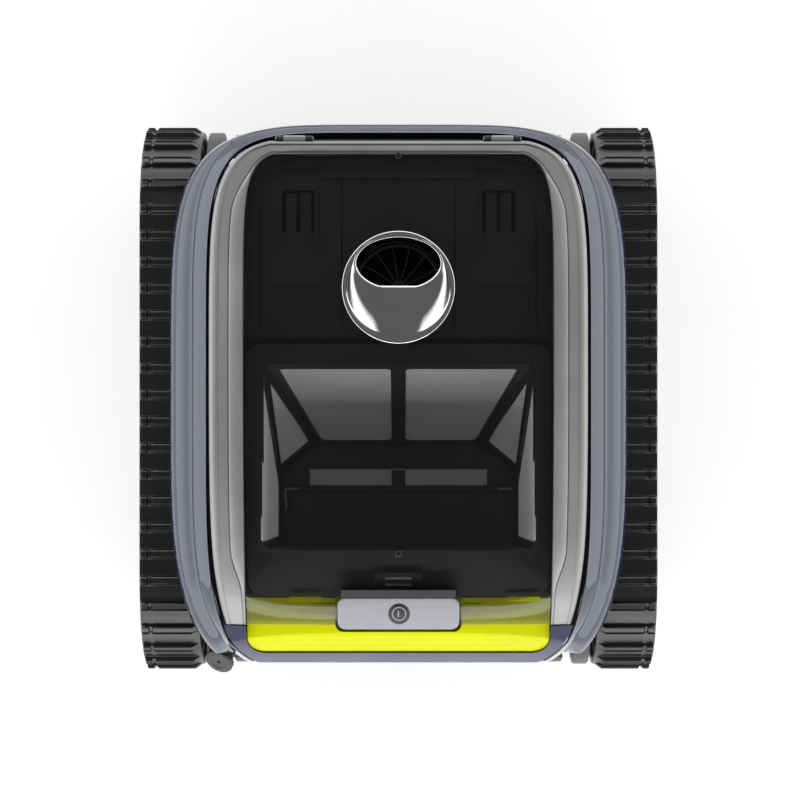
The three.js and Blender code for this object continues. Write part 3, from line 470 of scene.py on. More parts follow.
def plan_point(plan, angle):
    """Point of the outline at that direction from the middle."""
    c, s = math.cos(angle), math.sin(angle)
    radius = 1 / plan_size(plan, c, s)
    return Vector((c * radius, s * radius))


def plan_normal(plan, point):
    """Outward normal of the outline at a point on it."""
    reach, power = plan_end(plan, point.y)
    nx = math.copysign(abs(point.x / plan["half"]) ** (power - 1) / plan["half"], point.x)
    ny = math.copysign(abs(point.y / reach) ** (power - 1) / reach, point.y)
    return Vector((nx, ny)).normalized()


def distance_to(inside, point, direction, reach=90.0):
    """How far along the direction the test `inside` goes from its first answer to the other."""
    first = inside(point)
    low, high = 0.0, reach
    for _ in range(24):
        middle = (low + high) / 2
        if inside(point + direction * middle) == first:
            low = middle
        else:
            high = middle
    return high


def distance_to_plan(plan, point, normal):
    return distance_to(lambda at: plan_size(plan, at.x, at.y) < 1, point, normal)


def spine_height(y):
    """Height of the dome along the machine's middle line."""
    reach, drop = (GROOVE["rear"] - CROWN_Y, REAR_DROP) if y > CROWN_Y else (CROWN_Y - LIP_Y, FRONT_DROP)
    return CROWN - drop * abs((y - CROWN_Y) / reach) ** SPINE_POWER


def dome_height(x, y):
    return spine_height(y) - EDGE_DROP * plan_size(GROOVE, x, y) ** EDGE_POWER


def over_dome(points, lift):
    """The plan points at a height above the dome."""
    return [(x, y, dome_height(x, y) + lift) for x, y in points]


def scaled(outline, middle, share):
    """The outline drawn in to a share of its size about its middle."""
    return [middle + (Vector(point) - middle) * share for point in outline]


def front_height(y):
    """Height of the sloping front, level until the lid's lip."""
    along = max(0.0, (LIP_Y - y) / (LIP_Y - FRONT_Y))
    return FRONT_TOP_Z - (FRONT_TOP_Z - FRONT_Z) * along ** FRONT_POWER


def rim_height(y):
    """Top of the rim, held under the sloping front."""
    return min(spine_height(y) - RIM_BELOW, front_height(y))


def fender_edge_height(y):
    """Height of the fenders' lower edge, lowest at the two ends."""
    return FENDER_Z - FENDER_DROP * abs(y / EDGE["rear"]) ** FENDER_POWER


def hull_stations(steps=GROOVE_STEPS):
    """(point, outward normal) round the groove between lid and rim, from its front middle."""
    made = []
    for k in range(steps):
        point = plan_point(GROOVE, -math.pi / 2 + 2 * math.pi * (k + 0.5) / steps)
        made.append((point, plan_normal(GROOVE, point)))
    return made


def section_on(surface, point, direction, section):
    """Ring from (distance, drop) pairs: so far along the direction, so far below the surface."""
    ring = []
    for distance, drop in section:
        x, y = point + direction * distance
        ring.append((x, y, surface(x, y) - drop))
    return ring


def smooth_step(start, end, value):
    share = min(1.0, max(0.0, (value - start) / (end - start)))
    return share * share * (3 - 2 * share)


def in_window(point):
    """Inside the window's outline, whose front half has straight sides."""
    if point.y < 0:
        return abs(point.x) < WINDOW["half"]
    return plan_size(WINDOW, point.x, point.y) < 1


# ------------------------------------------------------------------ lid
def lid_frame():
    """Satin frame of the lid: a step at a third of its width and a fine groove nearer the window."""
    rings = []
    for point, normal in hull_stations():
        inner = distance_to(in_window, point, -normal) - 0.4
        if in_window(point) or inner < 12:
            continue
        run_out = max(smooth_step(140, 188, point.y), smooth_step(115, 152, -point.y))
        step, line = 0.28 * inner, (0.6 + 0.29 * run_out) * inner
        section = [
            (LID_INSET + 0.9, LID_THICK), (LID_INSET, LID_THICK - 0.8), (LID_INSET, 2.4),
            (LID_INSET + 0.35, 1.2), (LID_INSET + 1.2, 0.35), (LID_INSET + 2.4, 0),
            (step - 0.9, 0), (step - 0.4, 0.12), (step + 0.4, 1.1), (step + 0.9, 1.2),
            (line - 0.9, 1.0), (line - 0.5, 1.1), (line - 0.3, 1.9), (line + 0.3, 1.9), (line + 0.5, 1.0),
            (line + 1.0, 0.8), (inner - 1.1, 0.3), (inner - 0.4, 0.5), (inner, 1.1),
            (inner, LID_THICK - 0.6), (inner - 0.6, LID_THICK),
        ]
        rings.append(section_on(dome_height, point, -normal, section))
    mesh = cut_at_lip(skinned(rings), 0.4)
    room_width = EAR_WIDTH + 1.2
    for x in (INNER_EAR_X - 1, OUTER_EAR_X - 0.2):
        under_face = dome_prism(rounded_box(x - 2, x + 9, 180, 197.5, 1), 1.5, 40)
        room = common(rod("x", HINGE, 5.4, x, x + room_width), under_face)
        below = box(x, x + room_width, 188.6, 197, 190, 211)
        mesh = carved(mesh, room, below, mirrored(room), mirrored(below))
    mesh = carved(mesh, hinge_bore())
    barrels = [hinged(rod("x", HINGE, 4.4, low, low + 16)) for low in (70, -86)]
    mesh = joined(mesh, *barrels)
    piece("lid_frame_shell", mesh, "lid", SILVER, "lid_frame")


def cut_at_lip(mesh, ahead):
    """Ends a piece a little ahead of the lid's front lip."""
    return trimmed(mesh, ((0, LIP_Y - ahead, 0), (0, -1, 0)))


def hinge_bore():
    return rod("x", HINGE, HINGE_PIN, -110, 110)


def hinged(mesh):
    """A barrel or ear with the pin's bore through it and its rear cut flush."""
    return trimmed(carved(mesh, hinge_bore()), ((0, HINGE_REAR_Y, 0), (0, 1, 0)))


def nozzle_rays(steps, inner, outer):
    """Rays from the nozzle's axis out to the first point where `outer` turns false, corners kept."""
    corners = [math.atan2(LIP_Y - NOZZLE_Y, side * WINDOW["half"]) for side in (-1, 1)]
    angles = sorted([-math.pi + 2 * math.pi * k / steps for k in range(steps)] + corners)
    centre = Vector((0, NOZZLE_Y))
    rays = []
    for angle in angles:
        direction = Vector((math.cos(angle), math.sin(angle)))
        rays.append((centre, direction, inner, distance_to(outer, centre, direction, 300)))
    return rays


def dome_sheet(rays, top, thick, spans=26, edge=0.7):
    """Sheet that follows the dome between two distances on each ray, with eased edges."""
    rings = []
    for centre, direction, inner, outer in rays:
        stops = [inner + (outer - inner) * (k / spans) for k in range(spans + 1)]
        upper = [(inner, top + edge), (inner + edge, top)]
        upper += [(stop, top) for stop in stops[1:-1]] + [(outer - edge, top), (outer, top + edge)]
        lower = [(outer, top + thick - 0.3)] + [(stop, top + thick) for stop in reversed(stops[1:-1])]
        lower += [(inner, top + thick - 0.3)]
        rings.append(section_on(dome_height, centre, direction, upper + lower))
    return skinned(rings, around=True)


def lid_window():
    """Smoked sheet from the nozzle's collar out to the frame, notched for the release plate."""
    def inside(point):
        return in_window(point) and point.y > LIP_Y

    mesh = dome_sheet(nozzle_rays(288, COLLAR + 0.4, inside), 0, WINDOW_THICK)
    half, rear = PLATE_HALF + 0.4, PLATE_REAR_Y + 0.4
    notch = prism(rounded_box(-half, half, -FAR, rear, 6.4), "z", 150, 300)
    piece("lid_window_sheet", carved(mesh, notch), "lid", SMOKED, "lid_window", sharp=50, on_dome=True)


def release_plate():
    """Brushed plate that follows the dome, with a plain round inlay."""
    outline = rounded_box(-PLATE_HALF, PLATE_HALF, PLATE_FRONT_Y, PLATE_REAR_Y, 6, 8)
    middle = Vector((0, (PLATE_FRONT_Y + PLATE_REAR_Y) / 2))

    def ring(share, lift):
        return over_dome(scaled(outline, middle, share), lift)

    face = [ring(share, 0.8) for share in (0.94, 0.75, 0.5, 0.25, 0.02)]
    shape = [ring(0.02, -2.9), ring(0.5, -2.9), ring(0.985, -2.9), ring(1, -2.6), ring(1, 0.1),
             ring(0.992, 0.55), ring(0.97, 0.78)] + face
    piece("release_plate_face", skinned(shape), "release", BADGE, "release_plate", sharp=50)
    x, y = 0.5, middle.y
    disc = lathe([(0, 0), (8.2, 0), (8.2, 0.95), (7.8, 1.15), (0, 1.15)], "z", (x, y), 64)
    ring_band = lathe([(4.6, 1.1), (5.4, 1.1), (5.4, 1.3), (4.6, 1.3)], "z", (x, y), 64)
    bar = prism(rounded_box(-0.5, 0.5, y - 2.6, y + 2.6, 0.45), "z", 1.1, 1.3)
    inlays = (("release_inlay", disc, BLACK), ("release_inlay_ring", joined(ring_band, bar), BADGE))
    for name, mesh, material in inlays:
        bm = opened(mesh)
        for vert in bm.verts:
            vert.co.z += (dome_height(vert.co.x / MM, vert.co.y / MM) - 0.15) * MM
        piece(name, to_mesh(bm), "release", material)


def release_seat():
    """Slotted strip under the window behind the release plate."""
    strip = dome_prism(rounded_box(-43, 43, -149.4, -143.6, 1), WINDOW_THICK + 0.3, WINDOW_THICK + 1.8)
    slots = [dome_prism(rounded_box(low, low + 24, -146.9, -145.1, 0.8), -10, 30) for low in (-41, 17)]
    piece("release_seat_strip", carved(strip, *slots), "lid", BLACK)


def outlet_nozzle():
    """Chromed scoop: flange on the window, hood that rises to a slanted mouth, throat below."""
    steps = 96
    turns = [2 * math.pi * k / steps for k in range(steps)]

    def circle(radius, lift=None, z=None):
        made = []
        for t in turns:
            x, y = radius * math.cos(t), NOZZLE_Y + radius * math.sin(t)
            made.append((x, y, z if lift is None else dome_height(x, y) + lift))
        return made

    def flattened(t, front):
        return math.cos(t), max(math.sin(t), -front)

    def mouth(inset, drop=0.0):
        made = []
        for u, v in [flattened(t, 0.89) for t in turns]:
            made.append(((33.8 - inset) * u, NOZZLE_Y + 17.2 + (22 - inset) * v, 255.4 - drop - 6.5 * v))
        return made

    def base(share):
        made = []
        for u, v in [flattened(t, 1 - 0.1 * min(1, share * 5)) for t in turns]:
            x, y = 38.6 * u, NOZZLE_Y + 38.6 * v
            made.append((x, y, dome_height(x, y) + 2.5))
        return made

    def between(first, last, share, bulge):
        return [tuple(a[i] + (b[i] - a[i]) * share + (bulge if i == 2 else 0) for i in range(3))
                for a, b in zip(first, last)]

    foot, lip, inner_lip = circle(38.6, 2.5), mouth(0.9, -0.1), mouth(3.2, 0.9)
    throat = circle(THROAT, z=241)
    hood = [between(base(k / 12), lip, k / 12, 2.6 * math.sin(math.pi * k / 12)) for k in range(1, 12)]
    inside = [between(inner_lip, throat, k / 8, -1.2 * math.sin(math.pi * k / 8)) for k in range(1, 8)]
    rings = [
        circle(FLANGE - 0.4, 0.45), circle(FLANGE, 0.8), circle(FLANGE, 1.5), circle(FLANGE - 0.5, 2.2),
        circle(FLANGE - 1.4, 2.5), circle(FLANGE - 2.4, 2.3), foot, *hood, lip, mouth(1.6, -0.45),
        mouth(2.4, -0.1), inner_lip, *inside, throat, circle(THROAT, z=236), circle(THROAT, z=NOZZLE_LOW_Z),
        circle(COLLAR, z=NOZZLE_LOW_Z), circle(COLLAR, 0.45),
    ]
    piece("outlet_nozzle_hood", skinned(rings, around=True), "lid", CHROME, "outlet_nozzle", sharp=55)


def outlet_grille():
    """Ring, hub and fifteen swept vanes."""
    low, high = 229, 232
    radius = THROAT - 0.4
    profile = [(radius - 2.5, low + 0.3), (radius - 2.2, low), (radius, low), (radius, high - 0.3),
               (radius - 0.4, high), (radius - 2.1, high), (radius - 2.5, high - 0.4)]
    ring = lathe(profile, "z", (0, NOZZLE_Y), 72)
    hub = lathe([(0, low), (6, low), (6, high - 0.2), (5.2, high + 0.8), (3.2, high + 1), (2.8, high + 0.5),
                 (0, high + 0.5)], "z", (0, NOZZLE_Y), 48)
    vanes = []
    for k in range(15):
        start = 2 * math.pi * k / 15
        rings = []
        for i in range(9):
            reach = 5 + (radius - 2 - 5) * i / 8
            turn = start + 0.05 * (i / 8) ** 2
            across = Vector((-math.sin(turn), math.cos(turn)))
            middle = Vector((0, NOZZLE_Y)) + Vector((math.cos(turn), math.sin(turn))) * reach
            section = [(-0.65, low + 0.3), (0.65, low + 0.3), (0.65, high - 0.7), (0.35, high - 0.35),
                       (-0.35, high - 0.35), (-0.65, high - 0.7)]
            rings.append([(*(middle + across * side), z) for side, z in section])
        vanes.append(skinned(rings))
    piece("outlet_grille_vanes", joined(ring, hub, *vanes), "lid", BLACK, "outlet_grille")


def lid_screws():
    """Cross-recessed screws in the lid's middle line."""
    for name, y in (("rear_screw", 181), ("front_screw", -116)):
        top = dome_height(0, y) + 1.6
        head = lathe([(0, top - 1.2), (2.3, top - 1.2), (2.6, top - 0.6), (2.5, top - 0.1), (1.9, top + 0.35),
                      (0, top + 0.55)], "z", (0, y), 32)
        slots = [box(-u, u, y - v, y + v, top - 0.4, top + 2) for u, v in ((1.5, 0.3), (0.3, 1.5))]
        piece(name + "_head", carved(head, *slots), "lid", BLACK, name)


# ------------------------------------------------------------------ hull covers
def crease_distance(point, normal):
    """Width of the rim from the groove to the crease, never under its least width."""
    least = 6.0
    if plan_size(CREASE, *(point + normal * least)) >= 1:
        return least
    return distance_to_plan(CREASE, point, normal)


def body_rim():
    """Shoulder ring between the lid's groove and the crease."""
    rings = []
    for point, normal in hull_stations():
        crease = crease_distance(point, normal)
        start = 1.5
        width = crease - start
        curve = [(start + width * k / 8, RIM_SHOULDER * (k / 8) ** 1.2) for k in range(2, 8)]
        section = [
            (start, 9), (start, 1.4), (start + 0.3, 0.5), (start + 0.9, 0.1), *curve,
            (crease - 0.3, RIM_SHOULDER - 0.35), (crease, RIM_SHOULDER + 0.3),
            (crease - 0.4, RIM_SHOULDER + 1.0), (crease - 3, RIM_DEPTH), (start + 2, RIM_DEPTH),
        ]
        rings.append(section_on(lambda x, y: rim_height(y), point, normal, section))
    mesh = trimmed(skinned(rings, around=True), ((0, RIM_END_Y, 0), (0, -1, 0)))
    piece("body_rim_band", carved(mesh, gland_room()), "chassis", NAVY, "body_rim")


def skirt(low_z=None):
    """Convex band from the crease out to the edge outline, with a rolled foot or a wall below."""
    rings = []
    turns = [(k / 20) ** 2 for k in range(21)]
    for point, normal in hull_stations():
        crease = crease_distance(point, normal)
        edge = crease + 3
        if plan_size(EDGE, *(point + normal * edge)) < 1:
            edge = distance_to_plan(EDGE, point, normal)
        top = rim_height(max(FRONT_Y, (point + normal * crease).y)) - RIM_SHOULDER - 1.2
        foot = max(100, min(fender_edge_height((point + normal * edge).y), top - 4))
        outer = []
        slant = min(0.6 * (edge - crease), (top - foot) * 0.6)
        for turn in turns:
            out, down = math.sin(turn * math.pi / 2) ** 0.4, 1 - math.cos(turn * math.pi / 2)
            z = top - slant * out - (top - foot - slant) * down
            outer.append((crease + (edge - crease) * out, z))
        outer[0] = (crease + 0.5, top - 0.1)
        section = [(crease - 2.4, top - 4.5), (crease - 0.6, top - 0.7), *outer]
        if low_z is None:
            section += [(edge, foot - 0.8), (edge - 0.6, foot - 1.5),
                        (edge - 2, foot - 1.5), (edge - 2.8, foot - 0.6)]
        else:
            section += [(edge - 0.8, foot - 8), (edge - 2, low_z + 1), (edge - 2.8, low_z),
                        (edge - 4.4, low_z), (edge - 5, low_z + 1), (edge - 4, foot - 8)]
        section += [(out - 2.8, z - 0.6) if turn > 0.3 else (out - 1.6, z - 2.6)
                    for turn, (out, z) in reversed(list(zip(turns, outer)))][:-1]
        rings.append([(*(point + normal * out), z) for out, z in section])
    return skinned(rings, around=True)


def fenders():
    """Shells over the tracks: the two sides of one skirt, the left one cleared for the gland."""
    whole = trimmed(skirt(), ((0, FENDER_END_Y, 0), (0, -1, 0)))
    right = trimmed(whole, ((FENDER_X, 0, 0), (-1, 0, 0)))
    left = trimmed(whole, ((-FENDER_X, 0, 0), (1, 0, 0)))
    piece("right_fender_shell", right, "chassis", NAVY, "right_fender", sharp=40)
    piece("left_fender_shell", carved(left, gland_room()), "chassis", NAVY, "left_fender", sharp=40)


def rear_cover():
    """Rear middle of the skirt, with a wall down to the tub."""
    mesh = trimmed(skirt(COVER_LOW_Z), ((COVER_X, 0, 0), (1, 0, 0)), ((-COVER_X, 0, 0), (-1, 0, 0)),
                   ((0, 100, 0), (0, -1, 0)))
    piece("rear_cover_shell", mesh, "chassis", NAVY, "rear_cover", sharp=40)


def on_gland(mesh):
    """Turns a mesh made about Z onto the gland's axis, its zero height at the gland's face."""
    mesh.transform(Vector((0, 0, 1)).rotation_difference(GLAND_AXIS).to_matrix().to_4x4())
    mesh.transform(Matrix.Translation(GLAND_AT * MM))
    return mesh


def gland_room(radius=13.5, top=20):
    """Rod along the gland's axis that clears the covers round it."""
    return on_gland(rod("z", (0, 0), radius, -30, top))


def front_columns(half, outline_inset, face_inset, rear_y, low_z, top):
    """Solid behind the sloping front: one (y, z) column section for each x, closed at both sides."""
    columns = []
    steps = 72
    for k in range(steps + 1):
        x = half * math.sin(math.pi * (k / steps - 0.5))
        edge = plan_edge_y(GROOVE, abs(x) + outline_inset) + outline_inset
        front_y = max(FRONT_Y + face_inset, edge)
        section = []
        spans = 22
        for i in range(spans + 1):
            y = rear_y + (front_y - rear_y) * i / spans
            section.append((x, y, min(top(x, y), front_height(y - face_inset))))
        section += [(x, front_y, low_z), (x, rear_y, low_z)]
        columns.append(section)
    return skinned(columns)


def plan_edge_y(plan, x):
    """Front y of the outline at that x."""
    power = plan["front_power"]
    return -plan["front"] * max(0.0, 1 - (x / plan["half"]) ** power) ** (1 / power)


def front_fascia():
    """Front cover with its opening for the handle."""
    def under_dome(x, y):
        return dome_height(x, y) - 4

    half = 132.4
    outer = front_columns(half, 0, 0, LIP_Y - 1.3, FRONT_BOTTOM_Z, dome_height)
    inner = front_columns(half - 4, 3, 3.6, LIP_Y + 10, FRONT_BOTTOM_Z - 9, under_dome)
    hole = trimmed(handle_prism(0.6, 12.6), ((0, 0, HANDLE_LOW_Z - 2), (0, 0, -1)))
    mesh = carved(outer, inner, hole, gland_room())
    piece("front_fascia_shell", mesh, "chassis", NAVY_SATIN, "front_fascia", bevel=0.7)


def cable_gland():
    """Gland body and its ribbed cap, without a cable."""
    body = lathe([(0, -16), (7.9, -16), (8.5, -15.4), (8.5, -6), (7.9, -5.6), (7.9, -4.4), (8.5, -4),
                  (8.5, -0.4), (0, -0.4)], "z", (0, 0))
    cap = lathe([(0, 0), (10.6, 0), (11.2, 0.4), (11.4, 1.2), (11.4, 3.6), (11, 4.4), (10.2, 4.9), (6.6, 5),
                 (6.2, 4.6), (5.6, 4.4), (1.5, 4.4), (1.2, 4.1), (1.2, 3), (0, 3)], "z", (0, 0), 64)
    notches = []
    for k in range(12):
        c, s = math.cos(k * math.pi / 6), math.sin(k * math.pi / 6)
        notches.append(rod("z", (12.2 * c, 12.2 * s), 1.3, -2, 8, steps=16))
    cap = carved(cap, *notches)
    piece("gland_sleeve", on_gland(body), "chassis", GREY, "gland_body")
    piece("gland_nut", on_gland(cap), "chassis", GREY, "gland_cap")


# ------------------------------------------------------------------ filter canister
def filter_handle():
    """Bright front grip of the canister, with a finger groove and a pocket under the release plate."""
    columns, spans = 96, 64

    def groove(x, y):
        across = smooth_step(-86, -83, x) * smooth_step(-86, -83, -x)
        along = smooth_step(-190.2, -189, y) * smooth_step(181.6, 182.8, -y)
        return 1.4 * across * along

    def section(x, inset, rear_y, low_z, below):
        front_y = HANDLE_FRONT_Y + inset
        points = []
        for i in range(spans + 1):
            y = rear_y + (front_y - rear_y) * i / spans
            z = min(dome_height(x, y) - below, front_height(y - 1.5 - inset))
            points.append((x, y, z - (0 if inset else groove(x, y))))
        return points + [(x, front_y, low_z), (x, rear_y, low_z)]

    def solid(half, inset, rear_y, low_z, below):
        return skinned([section(half * (2 * k / columns - 1), inset, rear_y, low_z, below)
                        for k in range(columns + 1)])

    outer = solid(HANDLE_HALF, 0, HANDLE_REAR_Y, HANDLE_LOW_Z, HANDLE_BELOW)
    outer = common(outer, handle_prism(0, 12))
    inner = solid(HANDLE_HALF - 4, 4, HANDLE_REAR_Y - 4, HANDLE_LOW_Z - 9, HANDLE_BELOW + 4)
    pocket = prism(rounded_box(-PLATE_HALF - 2, PLATE_HALF + 2, -177, -120, 6), "z", 187, 300)
    floor = box(-PLATE_HALF - 4, PLATE_HALF + 4, -180, HANDLE_REAR_Y, 183.5, 186.5)
    grip = carved(outer, inner, pocket)
    piece("filter_handle_grip", grip, "canister", YELLOW, "filter_handle", bevel=0.8, segments=3)
    piece("filter_handle_pocket", floor, "canister", YELLOW, bevel=0.5)
    lips = []
    for low, high in ((-83, -57), (82, 107)):
        top = dome_height(low, HANDLE_REAR_Y) - HANDLE_BELOW
        outline = rounded_box(low, high, HANDLE_REAR_Y - 2.4, HANDLE_REAR_Y + 1.2, 1.2)
        lips.append(prism(outline, "z", top - 1, top + 0.8, 0.3))
    piece("filter_handle_lips", joined(*lips), "canister", YELLOW)


def handle_prism(grow, radius):
    """Everything over the handle's plan, its front corners rounded."""
    half, front = HANDLE_HALF + grow, HANDLE_FRONT_Y - grow
    outline = [(half, 60), (-half, 60), *arc(radius - half, front + radius, radius, 180, 270, 8),
               *arc(half - radius, front + radius, radius, 270, 360, 8)]
    return prism(outline, "z", 100, 300)


def dome_prism(outline, top, bottom):
    """Solid with that plan outline between the dome raised by top and lowered by bottom."""
    middle = Vector((sum(u for u, _ in outline) / len(outline), sum(v for _, v in outline) / len(outline)))
    shares = [0.02, 0.3, 0.6, 0.85, 1]
    under = [over_dome(scaled(outline, middle, share), -bottom) for share in shares]
    return skinned(under + [over_dome(scaled(outline, middle, share), top) for share in reversed(shares)])


def canister_hull(offset, floor_z):
    """Planar walls of the canister, wide at the rim and narrow at the floor."""
    bm = bmesh.new()
    for side in (-1, 1):
        for x, y, z in ((101.5 + offset, 31 + offset, 250), (101.5 + offset, -114.5 - offset, 250),
                        (67 + offset / 2, -38 + offset, floor_z), (95 + offset, -60 + offset / 2, floor_z),
                        (95 + offset, -118 - offset, floor_z)):
            bm.verts.new((side * x * MM, y * MM, z * MM))
    bmesh.ops.convex_hull(bm, input=bm.verts)
    return to_mesh(bm)


REAR_OPENING = [(5, 67), (62, 67), (90, 224), (5, 224)]  # (x, z)
SIDE_OPENING = [(-111, 70), (-68, 70), (14, 222), (-108, 222)]  # (y, z)
CORNER_WALL = [(67, -38, 59), (95, -60, 59), (101.5, 31, 250)]
CORNER_DRAW = (0.17, 0.14, 0.36)  # how far each corner of the corner panel is drawn in
FLOOR_OPENING = (72, -71.5, -57)
MOUTH = (84, -110, -76)
CANISTER_FLOOR = 59


def corner_prism(draw, reach=9):
    """Prism square to the slanted corner wall over its panel, right side."""
    corners = [Vector(corner) for corner in CORNER_WALL]
    middle = sum(corners, Vector()) / 3
    normal = (corners[1] - corners[0]).cross(corners[2] - corners[0]).normalized()
    drawn = [corner.lerp(middle, share + draw) for corner, share in zip(corners, CORNER_DRAW)]
    return skinned([[tuple(corner + normal * along) for corner in drawn] for along in (-reach, reach)])


def filter_frame():
    """Black frame of the canister: a rim that follows the dome, and walls with rounded openings."""
    rim_plan = rounded_box(-113.5, 113.5, -149.5, 40, 12, 10)
    rim = dome_prism(rim_plan, -9, 14)
    well = prism(rounded_box(-101.8, 101.8, -114, 27, 8, 8), "z", 0, FAR)
    lip = carved(dome_prism(rounded_box(-105.5, 105.5, -118, 31, 10, 10), -8.2, 12), well)
    walls = common(canister_hull(3, CANISTER_FLOOR - 3), dome_block(-9.5))
    shell = carved(walls, canister_hull(0, CANISTER_FLOOR))
    rear = prism(eased(REAR_OPENING, 6, 5), "y", -50, 80)
    side = prism(eased(SIDE_OPENING, 6, 5), "x", 80, 120)
    mouth = box(-MOUTH[0], MOUTH[0], MOUTH[1], MOUTH[2], 40, 70)
    floor = box(-FLOOR_OPENING[0], FLOOR_OPENING[0], FLOOR_OPENING[1], FLOOR_OPENING[2], 40, 70)
    corner = corner_prism(0)
    shell = carved(shell, rear, mirrored(rear), side, mirrored(side), corner, mirrored(corner), mouth, floor)
    piece("filter_frame_walls", shell, "canister", BLACK, "filter_frame", bevel=0.5)
    piece("filter_frame_rim", joined(carved(rim, well), lip), "canister", BLACK, bevel=0.5)
    bars = [box(-5.5, 5.5, -71, -58, 56.5, 60)]
    for side in (-1, 1):
        low, high = Vector((side * 67, -40, CANISTER_FLOOR + 2)), Vector((side * 98, 25, 226))
        bars.append(strut(low, high, 2.4))
    piece("filter_frame_ribs", joined(*bars), "canister", BLACK)


def dome_block(drop):
    """Everything under the dome lowered by drop, over the canister's plan."""
    return dome_prism(rounded_box(-125, 125, -150, 60, 5), drop, 230)


def strut(start, end, radius, sides=12):
    """Round bar between two points."""
    along = (end - start).normalized()
    across = along.cross(Vector((0, 0, 1))).normalized()
    other = along.cross(across)
    rings = []
    for point in (start, end):
        rings.append([tuple(point + across * radius * math.cos(2 * math.pi * k / sides)
                            + other * radius * math.sin(2 * math.pi * k / sides)) for k in range(sides)])
    return skinned(rings)


def shrunk(points, by):
    """Outline with each corner moved in along both axes."""
    middle = [sum(point[i] for point in points) / len(points) for i in (0, 1)]
    return [(u - math.copysign(by, u - middle[0]), v - math.copysign(by, v - middle[1])) for u, v in points]


def filter_meshes():
    """Thin woven panels in the openings of the canister's walls."""
    sheet = carved(canister_hull(2.2, CANISTER_FLOOR - 2.2), canister_hull(1, CANISTER_FLOOR - 1))
    rear = common(sheet, prism(eased(shrunk(REAR_OPENING, 0.6), 6, 5), "y", -50, 80))
    side = common(sheet, prism(eased(shrunk(SIDE_OPENING, 0.6), 6, 5), "x", 80, 120))
    corner = common(sheet, corner_prism(0.03))
    half, front, back = FLOOR_OPENING
    floor = box(0.4 - half, half - 0.4, front + 0.4, back - 0.4, 56.8, 58)
    pair("{}_rear_mesh_weave", rear, "canister", WEAVE_XZ, "{}_rear_mesh")
    pair("{}_side_mesh_weave", side, "canister", WEAVE_YZ, "{}_side_mesh")
    pair("{}_corner_mesh_weave", corner, "canister", WEAVE_CORNER, "{}_corner_mesh")
    piece("floor_mesh_weave", floor, "canister", WEAVE_XY, "floor_mesh")


def canister_latch():
    """Sliding latch with three thumb ridges."""
    slab = dome_prism(rounded_box(-LATCH_HALF, LATCH_HALF, LATCH_FRONT_Y, LATCH_REAR_Y, 2.5), -5, 8.6)
    ridges = [dome_prism(rounded_box(-10, 10, y, y + 1.8, 0.85), -4.3, 6) for y in (-146, -141, -136)]
    piece("canister_latch_slide", slab, "canister_latch", BLACK, "canister_latch", bevel=0.3)
    piece("canister_latch_ridges", joined(*ridges), "canister_latch", SILVER, bevel=0.2)


# ------------------------------------------------------------------ deck under the lid
def beside(side, near, far, y0, y1, radius):
    """Rounded box on one side of the middle, -1 left or 1 right."""
    low, high = sorted((side * near, side * far))
    return rounded_box(low, high, y0, y1, radius)


def upper_deck():
    """Black deck under the rear of the window, with its recesses, channels and comb slots."""
    def inside(point):
        return plan_size(GROOVE, point.x, point.y) < 0.976

    rays = nozzle_rays(240, 37.5, inside)
    sheet = dome_sheet(rays, DECK_BELOW, DECK_THICK, spans=18, edge=0.4)
    well = prism(rounded_box(-WELL_HALF, WELL_HALF, -FAR, WELL_REAR_Y, 4), "z", 100, FAR)
    sheet = cut_at_lip(carved(sheet, well), 0.8)
    tools = []
    for side in (-1, 1):
        tools.append(dome_prism(beside(side, 54.5, 98, 57, 85, 7), -10, 17.6))
        for k in range(3):
            x = side * (64 + 10.8 * k)
            tools.append(dome_prism(rounded_box(x - 1.5, x + 1.5, 124, 155, 1), -10, 30))
        tools.append(dome_prism(beside(side, 62.8, 86.8, 153.2, 156, 1), -10, 30))
        tools.append(dome_prism(rounded_box(side * 42 - 0.7, side * 42 + 0.7, 50, 160, 0.6), -10, 17.2))
        tools.append(dome_prism(rounded_box(side * 103 - 0.7, side * 103 + 0.7, 50, 165, 0.6), -10, 17.2))
    sheet = carved(sheet, *tools)
    rings = []
    for point, normal in hull_stations(240):
        section = [(2.4, 16.2), (2.4, 60), (5.4, 60), (5.4, 16.2)]
        rings.append(section_on(dome_height, point, -normal, section))
    wall = cut_at_lip(carved(skinned(rings, around=True), well), 0.8)
    wall = trimmed(wall, ((0, 0, DECK_LOW_Z), (0, 0, -1)))
    raised = [dome_prism(rounded_box(-58, 58, 165, 182, 3), -13.6, 17)]
    for side in (-1, 1):
        raised.append(dome_prism(rounded_box(side * 61.5 - 0.8, side * 61.5 + 0.8, 109, 159, 0.7), -13.2, 17))
        raised.append(dome_prism(beside(side, 62, 90, 172, 180, 2), -14.2, 17))
    ears = []
    profile = [(190, 196), (195, 196), (195, 206), *arc(*HINGE, 3.8, -20, 180, 16)]
    for x in (INNER_EAR_X - 0.4, OUTER_EAR_X + 0.4):
        ear = hinged(prism(profile, "x", x, x + EAR_WIDTH, 0.3))
        ears += [ear, mirrored(ear)]
    piece("upper_deck_plate", sheet, "chassis", BLACK, "upper_deck", bevel=0.35)
    piece("upper_deck_wall", joined(wall, *ears), "chassis", BLACK, bevel=0.3)
    piece("upper_deck_ribs", joined(*raised), "chassis", BLACK, bevel=0.3)


